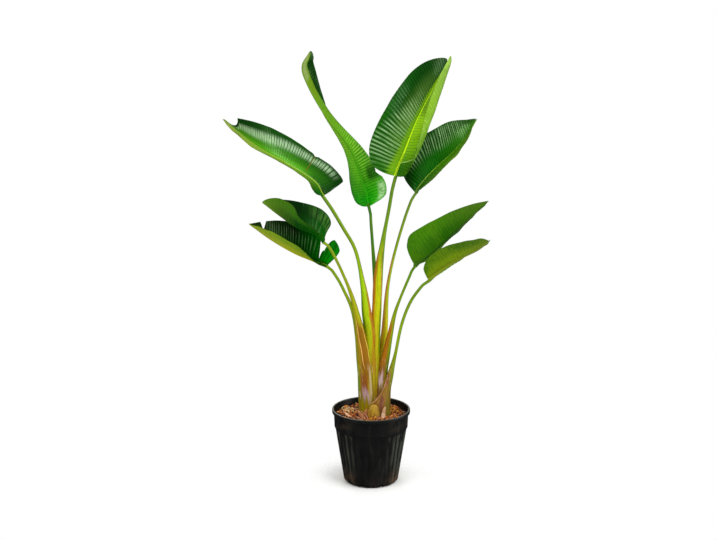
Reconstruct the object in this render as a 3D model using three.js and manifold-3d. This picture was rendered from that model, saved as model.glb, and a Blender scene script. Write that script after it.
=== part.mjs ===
// A potted bird of paradise plant: eight broad leaves on long stalks, held one
// behind the other in a flat fan, in a black nursery pot filled with bark mix.
// Millimetres, +Z up. The origin is the middle of the pot's underside, the fan
// spreads along X and the plant's front looks along -Y.

import * as THREE from 'three';
import { ConvexGeometry } from 'three/addons/geometries/ConvexGeometry.js';
import { mergeVertices } from 'three/addons/utils/BufferGeometryUtils.js';
import Module from 'manifold-3d';

const wasm = await Module();
wasm.setup();

// Driving dimensions of the pot, a ten-inch grower's pot.
const RIM_RADIUS = 127;
const POT_HEIGHT = 242;
const POT_WALL = 2.6;
const FOOT_RADIUS = 90;
const SHOULDER_RADIUS = 116.6;
const SHOULDER_HEIGHT = 180;
const COLLAR_RADIUS = 120.4;
const COLLAR_FLARE = 1;
const LEDGE_RISE = 4;
const LIP_HEIGHT = 12;
const LIP_EDGE = 2;
const LIP_WIDTH = 6;
const CORNER_RADIUS = 10;
const FLOOR_HEIGHT = 6;
const CENTRE_DISC_RADIUS = 45;
const CHANNEL_RADIUS = 63;
const CHANNEL_DEPTH = 3.5;
const CHANNEL_SLOPE = 2;
const AROUND = 56;
const FLUTE_DEPTH = 1;
const FLUTE_START = 8;
const FLUTE_END = 5;
const DRAIN_COUNT = 8;
const DRAIN_RADIUS = 8;
const DRAIN_REACH = 84;
const DRAIN_SIDES = 12;

// Driving dimensions of the potting mix and of what stands in it.
const MIX_HEIGHT = 222;
const MIX_EDGE_DROP = 4;
const MIX_LUMP = 3.5;
const MIX_SEED = 7;
const MIX_RINGS = [106, 92, 78, 64, 48];
const ROOT_HEIGHT = 180;
const ROOT_TOP = 235;
const GAP = 0.35;

// Driving dimensions shared by all leaves. A half blade's width starts and ends
// a little beyond the blade's ends, so that its base and tip are blunt.
const BLADE_THICKNESS = 1.2;
const BLADE_STEPS = 15;
const BLADE_COLUMNS = [0.35, 0.7, 1];
const BASE_OFFSET = 0.025;
const TIP_OFFSET = 0.015;
const NARROWEST_HALF = 2.5;
const RIB_HALF_WIDTH = 4.5;
const RIB_DEPTH = 8;
const RIB_TAPER = 0.8;
const RIB_SHARE = 0.25;
const VEIN_SWEEP = 50;
const MARGIN_WAVE = 3;
const MARGIN_WAVES = 5;
const WAVE_SHIFT = 1.7;
const STALK_SIDES = 10;
const FAN_MIDDLE = 15;
const ROUND_FROM = 0.67;
const CLOSEST_STEPS = 0.004;
const LEAST_CURL = 0.1;

// The leaves, from the heart of the fan outwards. root is where the stalk
// stands, stalk is its route from the mix up and midrib the route from there to
// the tip. The sheath is the wide lower stalk: half is its half width across
// the fan, wrap its half width through the fan, where it clasps the stalks
// inside it, and it narrows to the petiole between the heights from and to.
// face is the way the upper side looks at the blade's base, and twist turns it
// about the midrib. twist, fold and curl are degrees at base, middle and tip:
// fold is how far a half is folded up from flat at the midrib, and curl is how
// much further it has turned at its margin. rise and fall say how fast the
// blade widens and narrows, where a half may have a fall of its own, and lean
// how far its base veins point forward. A tear is a notch in the margin: its
// place, its depth and half its width, as shares.
const LEAVES = [
  {
    name: 'top_left',
    root: [20, 4],
    sheath: { half: 9, wrap: 12, from: 560, to: 800 },
    petiole: 5,
    stalk: [[19, 4, 400], [15, 6, 560], [13, 14, 650], [6, 38, 750], [0, 72, 830]],
    midrib: [[-5, 110, 890], [-25, 115, 960], [-65, 120, 1070], [-150, 120, 1185],
      [-205, 115, 1280], [-220, 110, 1335], [-200, 120, 1380]],
    face: [1, 0.6, 0.3],
    twist: [20, 35, -85],
    lean: 0,
    halfWidth: 87,
    rise: 0.36,
    fall: 0.8,
    left: { fold: [-5, 65, 80], curl: [10, 85, 45], share: 0.9, tears: [] },
    right: { fold: [0, 45, 75], curl: [5, 70, 20], share: 1, tears: [] },
  },
  {
    name: 'top_right',
    root: [9, -4],
    sheath: { half: 15, wrap: 15, from: 640, to: 860 },
    petiole: 5.5,
    stalk: [[13, -5, 400], [14, -5, 505], [18, -3, 590], [24, 3, 700], [37, 15, 795],
      [55, 28, 890]],
    midrib: [[75, 45, 995], [105, 55, 1075], [140, 85, 1160], [185, 115, 1245],
      [250, 150, 1360]],
    face: [-0.5, -1, 0.5],
    twist: [0, 35, 0],
    lean: -5,
    halfWidth: 122,
    rise: 0.41,
    fall: 0.75,
    left: { fold: [25, 35, 10], curl: [-25, -10, -15], share: 1.05, tears: [] },
    right: { fold: [20, 20, 5], curl: [45, 120, 140], share: 1, fall: 0.5, tears: [] },
  },
  {
    name: 'upper_left',
    root: [0, -5],
    sheath: { half: 18, wrap: 18.5, from: 490, to: 740 },
    petiole: 5.5,
    stalk: [[0, -9, 370], [-6, -13, 500], [-16, -17, 570], [-26, -19, 650], [-50, -20, 765],
      [-90, -19, 840]],
    midrib: [[-150, -10, 940], [-180, 0, 985], [-270, 25, 1040], [-360, 40, 1090],
      [-465, 75, 1170]],
    face: [0.3, -0.7, 0.6],
    twist: [10, -10, -60],
    lean: 5,
    halfWidth: 100,
    rise: 0.47,
    fall: 0.8,
    left: { fold: [20, 45, 70], curl: [5, 25, 25], share: 0.8, tears: [] },
    right: {
      fold: [20, -10, 25],
      curl: [15, -5, 35],
      share: 1.1,
      tears: [{ at: 0.2, depth: 0.08, reach: 0.02 }, { at: 0.96, depth: 1, reach: 0.09 }],
    },
  },
  {
    name: 'upper_right',
    root: [24, 8],
    sheath: { half: 14, wrap: 20, from: 340, to: 700 },
    petiole: 4.5,
    stalk: [[29, 12, 370], [43, 22, 490], [50, 33, 610], [62, 42, 690], [84, 55, 780],
      [115, 66, 880]],
    midrib: [[140, 65, 940], [175, 85, 985], [215, 120, 1020], [280, 140, 1080],
      [340, 170, 1160]],
    face: [-0.5, -1, 0.8],
    twist: [-10, 35, 0],
    lean: 10,
    halfWidth: 105,
    rise: 0.6,
    fall: 0.78,
    left: { fold: [5, 30, -10], curl: [-30, -10, -50], share: 1.1, tears: [] },
    right: { fold: [35, 65, 45], curl: [-5, 25, 40], share: 0.9, tears: [] },
  },
  {
    name: 'middle_left',
    root: [-9, -12],
    sheath: { half: 19, wrap: 22.5, from: 400, to: 690 },
    petiole: 5,
    stalk: [[-16, -16, 350], [-26, -22, 444], [-40, -34, 530], [-60, -52, 620],
      [-90, -74, 705], [-122, -90, 775]],
    midrib: [[-145, -100, 810], [-175, -95, 835], [-230, -100, 855], [-280, -110, 890],
      [-330, -120, 930]],
    face: [0.3, 0, 1],
    twist: [0, -10, 50],
    lean: 15,
    halfWidth: 88,
    rise: 0.44,
    fall: 0.86,
    left: { fold: [30, 50, 70], curl: [-20, -10, 15], share: 1.05, tears: [] },
    right: { fold: [20, 55, 60], curl: [-10, 15, 10], share: 0.95, tears: [] },
  },
  {
    name: 'middle_right',
    root: [31, -4],
    sheath: { half: 16, wrap: 24, from: 300, to: 640 },
    petiole: 4.5,
    stalk: [[36, -6, 345], [47, -11, 420], [60, -18, 495], [74, -27, 565], [92, -36, 620],
      [116, -44, 682]],
    midrib: [[135, -50, 725], [170, -80, 760], [225, -110, 815], [280, -155, 880],
      [340, -200, 945]],
    face: [-0.3, 0.5, 1],
    twist: [-25, -10, -15],
    lean: 5,
    halfWidth: 86,
    rise: 0.38,
    fall: 0.94,
    left: { fold: [40, 35, 30], curl: [-15, -10, 0], share: 0.85, tears: [] },
    right: { fold: [55, 40, 55], curl: [10, 0, 10], share: 1, tears: [] },
  },
  {
    name: 'lower_left',
    root: [-20, -5],
    sheath: { half: 20, wrap: 27, from: 270, to: 560 },
    petiole: 5,
    stalk: [[-26, -9, 340], [-36, -10, 415], [-46, -12, 490], [-62, -15, 575],
      [-88, -20, 640], [-112, -23, 685]],
    midrib: [[-140, -25, 720], [-185, -10, 735], [-245, 5, 755], [-320, 40, 790],
      [-390, 65, 835]],
    face: [0.3, -0.3, 1],
    twist: [-25, -10, 0],
    lean: -15,
    halfWidth: 98,
    rise: 0.42,
    fall: 0.9,
    left: { fold: [40, 55, 50], curl: [-10, 5, -10], share: 1, tears: [] },
    right: {
      fold: [40, 65, 25],
      curl: [10, 20, -25],
      share: 1.1,
      tears: [{ at: 0.12, depth: 0.85, reach: 0.035 }, { at: 0.84, depth: 0.7, reach: 0.03 }],
    },
  },
  {
    name: 'lower_right',
    root: [43, -6],
    sheath: { half: 20, wrap: 28, from: 230, to: 450 },
    petiole: 5,
    stalk: [[48, -10, 305], [60, -17, 355], [76, -29, 430], [94, -47, 530], [118, -67, 605],
      [146, -86, 655]],
    midrib: [[175, -100, 690], [215, -130, 730], [260, -180, 770], [310, -230, 805],
      [345, -265, 840]],
    face: [-0.3, 0.5, 1],
    twist: [-20, -15, 0],
    lean: 5,
    halfWidth: 65,
    rise: 0.45,
    fall: 0.75,
    left: { fold: [35, 35, 40], curl: [-5, -5, -5], share: 0.95, tears: [] },
    right: { fold: [45, 40, 50], curl: [0, -10, 15], share: 0.9, tears: [] },
  },
];

// Dry remains of older leaves at the front of the plant's base. foot is where
// each one's middle leaves the mix, lean is how far its tip stands from there,
// and bend is how far each side of it turns round the plant.
const DRY_SCALES = [
  { name: 'dry_scale_left', foot: [-36, -44], lean: [-12, -14], height: 46, halfWidth: 15, bend: 50 },
  { name: 'dry_scale_middle', foot: [-14, -50], lean: [-10, -6], height: 34, halfWidth: 12, bend: 60 },
  { name: 'dry_scale_right', foot: [40, -44], lean: [4, -6], height: 44, halfWidth: 9, bend: 55 },
];
const SCALE_THICKNESS = 1.4;
const SCALE_STEPS = 6;
const SCALE_COLUMNS = [-1, -0.5, 0, 0.5, 1];
const SCALE_TAPER = 0.75;
const DEPTH_IN_MIX = 14;
const STUB = { foot: [9, -40], height: 54, halfWidth: 19, halfDepth: 15, lean: 5 };
const STUB_LEVELS = [0, 0.3, 0.55, 0.75, 0.9, 0.98];

const FINISHES = {
  pot: { color: 0x1d1c1b, roughness: 0.5, metalness: 0 },
  mix: { color: 0x6d4022, roughness: 0.95, metalness: 0 },
  blade: { color: 0x1f6416, roughness: 0.42, metalness: 0 },
  stalk: { color: 0x8a9426, roughness: 0.5, metalness: 0 },
  dry: { color: 0xa9714a, roughness: 0.85, metalness: 0 },
  stub: { color: 0x9a7020, roughness: 0.7, metalness: 0 },
};

// Small helpers.
const radians = THREE.MathUtils.degToRad;
const lerp = THREE.MathUtils.lerp;
const clamp = THREE.MathUtils.clamp;
const vector = (values) => new THREE.Vector3(...values);

// The curve through three values that stand at 0, 0.5 and 1.
function through([start, middle, end], t) {
  return start * (1 - t) * (1 - 2 * t) + middle * 4 * t * (1 - t) + end * t * (2 * t - 1);
}

// The part of a direction that is square to an axis.
function squareTo(direction, axis) {
  return direction.clone().addScaledVector(axis, -direction.dot(axis)).normalize();
}

function enclosedVolume(points, triangles) {
  let volume = 0;
  for (const [a, b, c] of triangles) {
    volume += points[a].dot(points[b].clone().cross(points[c])) / 6;
  }
  return volume;
}

// A closed body from its points and triangles, turned so that it faces out.
function closedBody(points, triangles) {
  const inverted = enclosedVolume(points, triangles) < 0;
  const geometry = new THREE.BufferGeometry();
  geometry.setFromPoints(points);
  geometry.setIndex(triangles.flatMap(([a, b, c]) => (inverted ? [a, c, b] : [a, b, c])));
  geometry.computeVertexNormals();
  return geometry;
}

// A body from rings of points, one above the other, closed by a point at each end.
function bodyFromRings(firstPole, rings, lastPole) {
  const count = rings[0].length;
  const points = [firstPole, ...rings.flat(), lastPole];
  const triangles = [];
  const lastRing = 1 + (rings.length - 1) * count;
  for (let j = 0; j < count; j += 1) {
    const next = (j + 1) % count;
    triangles.push([0, 1 + next, 1 + j]);
    triangles.push([points.length - 1, lastRing + j, lastRing + next]);
    for (let i = 0; i + 1 < rings.length; i += 1) {
      const low = 1 + i * count;
      const high = low + count;
      triangles.push([low + j, low + next, high + next]);
      triangles.push([low + j, high + next, high + j]);
    }
  }
  return closedBody(points, triangles);
}

// A thin sheet from two matching grids of points, its upper and lower face.
function bodyFromSheets(upper, lower) {
  const rows = upper.length;
  const columns = upper[0].length;
  const points = [...upper.flat(), ...lower.flat()];
  const top = (i, j) => i * columns + j;
  const under = (i, j) => rows * columns + top(i, j);
  const triangles = [];
  const quad = (a, b, c, d) => triangles.push([a, b, c], [a, c, d]);
  for (let i = 0; i + 1 < rows; i += 1) {
    for (let j = 0; j + 1 < columns; j += 1) {
      quad(top(i, j), top(i, j + 1), top(i + 1, j + 1), top(i + 1, j));
      triangles.push([under(i, j), under(i + 1, j + 1), under(i, j + 1)]);
      triangles.push([under(i, j), under(i + 1, j), under(i + 1, j + 1)]);
    }
    quad(top(i, 0), top(i + 1, 0), under(i + 1, 0), under(i, 0));
    const last = columns - 1;
    quad(top(i + 1, last), top(i, last), under(i, last), under(i + 1, last));
  }
  for (let j = 0; j + 1 < columns; j += 1) {
    quad(top(0, j + 1), top(0, j), under(0, j), under(0, j + 1));
    quad(top(rows - 1, j), top(rows - 1, j + 1), under(rows - 1, j + 1), under(rows - 1, j));
  }
  return closedBody(points, triangles);
}

function toSolid(geometry) {
  const bare = geometry.clone();
  bare.deleteAttribute('normal');
  bare.deleteAttribute('uv');
  const merged = mergeVertices(bare);
  return new wasm.Manifold(new wasm.Mesh({
    numProp: 3,
    vertProperties: new Float32Array(merged.attributes.position.array),
    triVerts: new Uint32Array(merged.index.array),
  }));
}

function toGeometry(solid) {
  const mesh = solid.getMesh();
  const geometry = new THREE.BufferGeometry();
  geometry.setAttribute('position', new THREE.BufferAttribute(mesh.vertProperties, 3));
  geometry.setIndex(new THREE.BufferAttribute(mesh.triVerts, 1));
  geometry.computeVertexNormals();
  return geometry;
}

function cutAll(solid, cutters) {
  return cutters.reduce((rest, cutter) => rest.subtract(cutter), solid);
}

// The pot: a tapered, fluted wall below a plain collar with a rolled lip.
function turnedRing(radius, height, flute = 0) {
  return Array.from({ length: AROUND }, (_, j) => {
    const angle = (2 * Math.PI * j) / AROUND;
    const reach = radius - (j % 2) * flute;
    return new THREE.Vector3(reach * Math.cos(angle), reach * Math.sin(angle), height);
  });
}

// The fluted wall's radius at a height.
function wallRadius(height) {
  const share = (height - CORNER_RADIUS) / (SHOULDER_HEIGHT - CORNER_RADIUS);
  return lerp(FOOT_RADIUS, SHOULDER_RADIUS, share);
}

function potOutline() {
  const cornerCentre = FOOT_RADIUS - CORNER_RADIUS;
  const diagonal = CORNER_RADIUS * Math.SQRT1_2;
  const lipUnder = POT_HEIGHT - LIP_HEIGHT;
  return [
    [CENTRE_DISC_RADIUS, 0],
    [CENTRE_DISC_RADIUS + CHANNEL_SLOPE, CHANNEL_DEPTH],
    [CHANNEL_RADIUS - CHANNEL_SLOPE, CHANNEL_DEPTH],
    [CHANNEL_RADIUS, 0],
    [cornerCentre, 0],
    [cornerCentre + diagonal, CORNER_RADIUS - diagonal],
    [FOOT_RADIUS, CORNER_RADIUS],
    [wallRadius(CORNER_RADIUS + FLUTE_START), CORNER_RADIUS + FLUTE_START, FLUTE_DEPTH],
    [wallRadius(SHOULDER_HEIGHT - FLUTE_END), SHOULDER_HEIGHT - FLUTE_END, FLUTE_DEPTH],
    [SHOULDER_RADIUS, SHOULDER_HEIGHT],
    [COLLAR_RADIUS - COLLAR_FLARE, SHOULDER_HEIGHT + LEDGE_RISE],
    [COLLAR_RADIUS + COLLAR_FLARE, lipUnder - LIP_EDGE],
    [RIM_RADIUS - LIP_EDGE / 2, lipUnder],
    [RIM_RADIUS, lipUnder + LIP_EDGE],
    [RIM_RADIUS, POT_HEIGHT - LIP_EDGE],
    [RIM_RADIUS - LIP_EDGE, POT_HEIGHT],
    [RIM_RADIUS - LIP_WIDTH + LIP_EDGE, POT_HEIGHT],
    [RIM_RADIUS - LIP_WIDTH, POT_HEIGHT - LIP_EDGE],
  ];
}

function potInside() {
  return [
    [COLLAR_RADIUS + COLLAR_FLARE - POT_WALL, POT_HEIGHT - LIP_HEIGHT - LIP_EDGE],
    [COLLAR_RADIUS - COLLAR_FLARE - POT_WALL, SHOULDER_HEIGHT + LEDGE_RISE],
    [SHOULDER_RADIUS - POT_WALL, SHOULDER_HEIGHT],
    [FOOT_RADIUS - POT_WALL, CORNER_RADIUS + CHANNEL_SLOPE],
    [FOOT_RADIUS - CORNER_RADIUS + CHANNEL_SLOPE, FLOOR_HEIGHT],
  ];
}

function buildPot() {
  const rings = [...potOutline(), ...potInside()].map((row) => turnedRing(...row));
  const shell = bodyFromRings(vector([0, 0, 0]), rings, vector([0, 0, FLOOR_HEIGHT]));
  const drains = Array.from({ length: DRAIN_COUNT }, (_, k) => {
    const angle = (2 * Math.PI * (k + 0.5)) / DRAIN_COUNT;
    const length = 4 * CORNER_RADIUS;
    const drain = new THREE.CylinderGeometry(DRAIN_RADIUS, DRAIN_RADIUS, length, DRAIN_SIDES);
    drain.rotateX(Math.PI / 2);
    drain.translate(DRAIN_REACH * Math.cos(angle), DRAIN_REACH * Math.sin(angle), -CORNER_RADIUS);
    return toSolid(drain);
  });
  return cutAll(toSolid(shell), drains);
}

// The potting mix: it fills the pot, and two crossed wave patterns of about a
// bark chip's size, with a seeded draw at each point, make its top lumpy.
function lumpyRing(radius) {
  return turnedRing(radius, MIX_HEIGHT).map((point) => {
    const { x, y } = point;
    const waves = Math.sin(x / 9 + Math.sin(y / 13)) + Math.sin(y / 8 + Math.sin(x / 11));
    point.z += MIX_LUMP * (waves / 2 + THREE.MathUtils.seededRandom() - 0.5);
    return point;
  });
}

function buildMix(cutters) {
  THREE.MathUtils.seededRandom(MIX_SEED);
  const side = potInside().slice(1).reverse();
  side.push([COLLAR_RADIUS - POT_WALL, MIX_HEIGHT - MIX_EDGE_DROP - GAP]);
  const rings = side.map(([radius, height]) => turnedRing(radius - GAP, height + GAP));
  rings.push(...MIX_RINGS.map(lumpyRing));
  const bottom = vector([0, 0, FLOOR_HEIGHT + GAP]);
  const top = vector([0, 0, MIX_HEIGHT]);
  return cutAll(toSolid(bodyFromRings(bottom, rings, top)), cutters);
}

// The plain hole in the mix in which the stalks stand, drawn round their roots.
function buildRootHole() {
  const corners = LEAVES.flatMap((leaf) => {
    const [x, y] = leaf.root;
    const { half, wrap } = leaf.sheath;
    return Array.from({ length: STALK_SIDES }, (_, j) => {
      const angle = (2 * Math.PI * (j + 0.5)) / STALK_SIDES;
      return [x + (half + GAP) * Math.cos(angle), y + (wrap + GAP) * Math.sin(angle)];
    });
  });
  const ends = [ROOT_HEIGHT - GAP, MIX_HEIGHT + 4 * MIX_LUMP];
  return toSolid(new ConvexGeometry(ends.flatMap((z) => corners.map(([x, y]) => vector([x, y, z])))));
}

// A leaf's whole route, stalk and midrib, is one smooth curve.
function leafRoute(leaf) {
  const rooted = [[...leaf.root, ROOT_HEIGHT], [...leaf.root, ROOT_TOP], ...leaf.stalk];
  const places = [...rooted, ...leaf.midrib];
  const curve = new THREE.CatmullRomCurve3(places.map(vector), false, 'catmullrom', 0.5);
  return { curve, spans: places.length - 1, bladeStart: rooted.length };
}

// A stalk: round under the blade, wider below, where it clasps the inner stalks.
// grow makes it larger all round, to cut its neighbours free of it.
function buildStalk(leaf, grow = 0) {
  const { curve, spans, bladeStart } = leafRoute(leaf);
  const { half, wrap, from, to } = leaf.sheath;
  const rootInward = new THREE.Vector3(leaf.root[0] < FAN_MIDDLE ? 1 : -1, 0, 0);
  const face = vector(leaf.face).normalize();
  const steps = 2 * bladeStart;
  const rings = [];
  for (let i = 0; i <= steps; i += 1) {
    const share = i / steps;
    const place = (share * bladeStart) / spans;
    const centre = curve.getPoint(place);
    const along = curve.getTangent(place);
    const inward = squareTo(rootInward.clone().lerp(face, share), along);
    const across = along.clone().cross(inward);
    const reach = lerp(half, leaf.petiole, THREE.MathUtils.smoothstep(centre.z, from, to));
    const depth = reach * lerp(wrap / half, 1, clamp(share / ROUND_FROM, 0, 1));
    if (i === 0) centre.z -= grow;
    if (i === steps) centre.addScaledVector(along, grow);
    rings.push(Array.from({ length: STALK_SIDES }, (_, j) => {
      const angle = (2 * Math.PI * (j + 0.5)) / STALK_SIDES;
      return centre.clone()
        .addScaledVector(across, (depth + grow) * Math.sin(angle))
        .addScaledVector(inward, (reach + grow) * Math.cos(angle));
    }));
  }
  const middle = (ring) => ring
    .reduce((sum, point) => sum.add(point), new THREE.Vector3())
    .divideScalar(ring.length);
  return toSolid(bodyFromRings(middle(rings[0]), rings, middle(rings.at(-1))));
}

// How wide a half blade is at t, as a share of its widest.
function widthShare(rise, fall, t) {
  const widest = (rise * (1 + TIP_OFFSET) - fall * BASE_OFFSET) / (rise + fall);
  const opening = ((t + BASE_OFFSET) / (widest + BASE_OFFSET)) ** rise;
  const closing = ((1 + TIP_OFFSET - t) / (1 + TIP_OFFSET - widest)) ** fall;
  return opening * closing;
}

function bladeFrame(leaf, route, t) {
  const place = (route.bladeStart + t * (route.spans - route.bladeStart)) / route.spans;
  const centre = route.curve.getPoint(place);
  const along = route.curve.getTangent(place);
  const untwisted = squareTo(vector(leaf.face), along);
  const turn = radians(through(leaf.twist, t));
  const up = untwisted.clone().multiplyScalar(Math.cos(turn))
    .addScaledVector(along.clone().cross(untwisted), Math.sin(turn));
  return { centre, along, up, side: along.clone().cross(up) };
}

// One point of a half blade, at t along the midrib and a share of the way out to
// the margin, with the way its upper face looks there. hand is -1 for the left.
function halfBladePoint(leaf, frame, t, share, hand) {
  const half = hand < 0 ? leaf.left : leaf.right;
  const fold = radians(through(half.fold, t));
  const asked = through(half.curl, t);
  const curl = radians(Math.abs(asked) < LEAST_CURL ? LEAST_CURL : asked);
  const angle = fold + curl * share;
  const out = (Math.sin(angle) - Math.sin(fold)) / curl;
  const lift = (Math.cos(fold) - Math.cos(angle)) / curl;
  const notch = half.tears.reduce((rest, tear) => (
    rest * (1 - tear.depth * Math.max(0, 1 - Math.abs(t - tear.at) / tear.reach))), 1);
  const opened = half.share * notch * widthShare(leaf.rise, half.fall ?? leaf.fall, t);
  const width = Math.max(NARROWEST_HALF, leaf.halfWidth * opened);
  const sweep = radians(leaf.lean * (1 - t) ** 4 + VEIN_SWEEP * t ** 1.5);
  const facing = frame.up.clone().multiplyScalar(Math.cos(angle))
    .addScaledVector(frame.side, -hand * Math.sin(angle));
  const wave = MARGIN_WAVE * share ** 2 * Math.min(1, 4 * t)
    * Math.sin(2 * Math.PI * MARGIN_WAVES * t + (hand < 0 ? WAVE_SHIFT : 0));
  const point = frame.centre.clone()
    .addScaledVector(frame.side, width * Math.cos(sweep) * hand * out)
    .addScaledVector(frame.up, width * Math.cos(sweep) * lift)
    .addScaledVector(frame.along, width * Math.sin(sweep) * share)
    .addScaledVector(facing, wave);
  return { point, facing, width };
}

function bladeSteps(leaf) {
  const steps = Array.from({ length: BLADE_STEPS + 1 }, (_, i) => i / BLADE_STEPS);
  for (const { at, reach } of [...leaf.left.tears, ...leaf.right.tears]) {
    steps.push(at - reach, at, Math.min(1, at + reach));
  }
  steps.sort((a, b) => a - b);
  return steps.filter((t, i) => i === 0 || t - steps[i - 1] > CLOSEST_STEPS);
}

// A blade: two waved halves that meet in a midrib, which stands out below.
function buildBlade(leaf) {
  const route = leafRoute(leaf);
  const upper = [];
  const lower = [];
  for (const t of bladeSteps(leaf)) {
    const frame = bladeFrame(leaf, route, t);
    const narrowest = Math.min(
      halfBladePoint(leaf, frame, t, 1, -1).width,
      halfBladePoint(leaf, frame, t, 1, 1).width,
    );
    const ribHalf = Math.min(RIB_HALF_WIDTH * (1 - RIB_TAPER * t), RIB_SHARE * narrowest);
    const ribDepth = RIB_DEPTH * (1 - t) * (1 - RIB_TAPER * t);
    const upperRow = [];
    const lowerRow = [];
    const addPoint = ({ point, facing }, depth) => {
      upperRow.push(point.clone().addScaledVector(facing, BLADE_THICKNESS / 2));
      lowerRow.push(point.clone().addScaledVector(facing, -BLADE_THICKNESS / 2 - depth));
    };
    const addHalf = (hand, columns) => {
      const width = halfBladePoint(leaf, frame, t, 1, hand).width;
      for (const column of columns) {
        const share = column === 0 ? ribHalf / width : column;
        addPoint(halfBladePoint(leaf, frame, t, share, hand), 0);
      }
    };
    addHalf(-1, [0, ...BLADE_COLUMNS].reverse());
    addPoint({ point: frame.centre, facing: frame.up }, ribDepth);
    addHalf(1, [0, ...BLADE_COLUMNS]);
    upper.push(upperRow);
    lower.push(lowerRow);
  }
  return toSolid(bodyFromSheets(upper, lower));
}

// A dry scale: a small curled sheet that stands in the mix and leans outwards.
function buildScale(scale, grow = 0) {
  const outside = [];
  const inside = [];
  const outward = new THREE.Vector3(scale.lean[0], scale.lean[1], 0).normalize();
  const across = new THREE.Vector3(-outward.y, outward.x, 0);
  for (let i = 0; i <= SCALE_STEPS; i += 1) {
    const t = i / SCALE_STEPS;
    const rise = lerp(-DEPTH_IN_MIX - grow, scale.height, t);
    const bow = Math.max(0, rise / scale.height) ** 2;
    const half = (scale.halfWidth + grow) * (1 - SCALE_TAPER * t ** 2);
    const row = SCALE_COLUMNS.map((share) => {
      const angle = radians(scale.bend) * share;
      return new THREE.Vector3(scale.foot[0], scale.foot[1], MIX_HEIGHT + rise)
        .addScaledVector(outward, bow * Math.hypot(...scale.lean) - half * (1 - Math.cos(angle)))
        .addScaledVector(across, half * Math.sin(angle) / Math.sin(radians(scale.bend)));
    });
    const thickness = SCALE_THICKNESS + 2 * grow;
    outside.push(row.map((point) => point.clone().addScaledVector(outward, thickness / 2)));
    inside.push(row.map((point) => point.clone().addScaledVector(outward, -thickness / 2)));
  }
  return toSolid(bodyFromSheets(outside, inside));
}

// The stub of a cut-off leaf base, a rounded knob at the front of the plant.
function buildStub(grow = 0) {
  const rings = STUB_LEVELS.map((level) => {
    const size = Math.sqrt(1 - level ** 2);
    const rise = lerp(-DEPTH_IN_MIX - grow, STUB.height + grow, level);
    return Array.from({ length: STALK_SIDES }, (_, j) => {
      const angle = (2 * Math.PI * j) / STALK_SIDES;
      return new THREE.Vector3(
        STUB.foot[0] + (STUB.halfWidth * size + grow) * Math.cos(angle),
        STUB.foot[1] + (STUB.halfDepth * size + grow) * Math.sin(angle) - STUB.lean * level,
        MIX_HEIGHT + rise,
      );
    });
  });
  const bottom = vector([...STUB.foot, MIX_HEIGHT - DEPTH_IN_MIX - grow]);
  const top = vector([STUB.foot[0], STUB.foot[1] - STUB.lean, MIX_HEIGHT + STUB.height + grow]);
  return toSolid(bodyFromRings(bottom, rings, top));
}

function namedMesh(name, solid, finish) {
  const mesh = new THREE.Mesh(toGeometry(solid), new THREE.MeshStandardMaterial(finish));
  mesh.name = name;
  return mesh;
}

const plant = new THREE.Group();
plant.name = 'potted_bird_of_paradise';
plant.add(namedMesh('nursery_pot', buildPot(), FINISHES.pot));

const standing = [];
for (const leaf of LEAVES) {
  const stalk = cutAll(buildStalk(leaf), standing);
  const grownStalk = buildStalk(leaf, GAP);
  const blade = buildBlade(leaf).subtract(grownStalk);
  plant.add(namedMesh(`leaf_${leaf.name}_stalk`, stalk, FINISHES.stalk));
  plant.add(namedMesh(`leaf_${leaf.name}_blade`, blade, FINISHES.blade));
  standing.push(grownStalk);
}

const holes = [buildRootHole(), buildStub(GAP)];
plant.add(namedMesh('old_leaf_stub', cutAll(buildStub(), standing), FINISHES.stub));
for (const scale of DRY_SCALES) {
  plant.add(namedMesh(scale.name, cutAll(buildScale(scale), standing), FINISHES.dry));
  holes.push(buildScale(scale, GAP));
}

plant.add(namedMesh('potting_mix', buildMix(holes), FINISHES.mix));

export default plant;
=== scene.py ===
# %% [markdown]
# Potted bird of paradise, dressed
#
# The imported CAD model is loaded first. It is the fixed frame: every piece made
# below stands where the model says, in metres, with +Z up and the photographed
# front looking along -Y. The model's box is kept, so that the finished plant's
# box can be set beside it.

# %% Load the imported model
import math
import random
from types import SimpleNamespace

import bpy
import numpy as np
from mathutils import Matrix, Vector


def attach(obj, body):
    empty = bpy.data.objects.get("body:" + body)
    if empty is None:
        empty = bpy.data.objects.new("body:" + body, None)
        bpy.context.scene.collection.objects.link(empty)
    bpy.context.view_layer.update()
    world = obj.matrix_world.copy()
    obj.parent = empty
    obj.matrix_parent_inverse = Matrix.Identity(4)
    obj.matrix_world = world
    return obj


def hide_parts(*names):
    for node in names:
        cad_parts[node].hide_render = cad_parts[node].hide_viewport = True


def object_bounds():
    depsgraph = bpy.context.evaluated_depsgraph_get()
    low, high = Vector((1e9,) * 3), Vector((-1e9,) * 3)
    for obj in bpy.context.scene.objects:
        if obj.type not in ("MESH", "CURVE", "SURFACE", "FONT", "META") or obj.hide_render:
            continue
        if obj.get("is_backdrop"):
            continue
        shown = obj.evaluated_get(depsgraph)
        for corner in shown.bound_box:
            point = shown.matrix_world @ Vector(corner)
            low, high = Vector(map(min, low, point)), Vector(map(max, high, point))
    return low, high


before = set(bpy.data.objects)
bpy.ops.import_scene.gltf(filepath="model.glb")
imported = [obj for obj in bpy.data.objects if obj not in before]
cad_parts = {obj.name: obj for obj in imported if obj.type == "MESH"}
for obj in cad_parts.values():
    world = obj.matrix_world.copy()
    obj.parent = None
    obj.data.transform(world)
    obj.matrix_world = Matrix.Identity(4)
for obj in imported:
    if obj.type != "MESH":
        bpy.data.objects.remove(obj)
cad_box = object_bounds()
MM = 0.001
print(len(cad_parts), "nodes, which stand", round(cad_box[1][2], 3), "m high")

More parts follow.
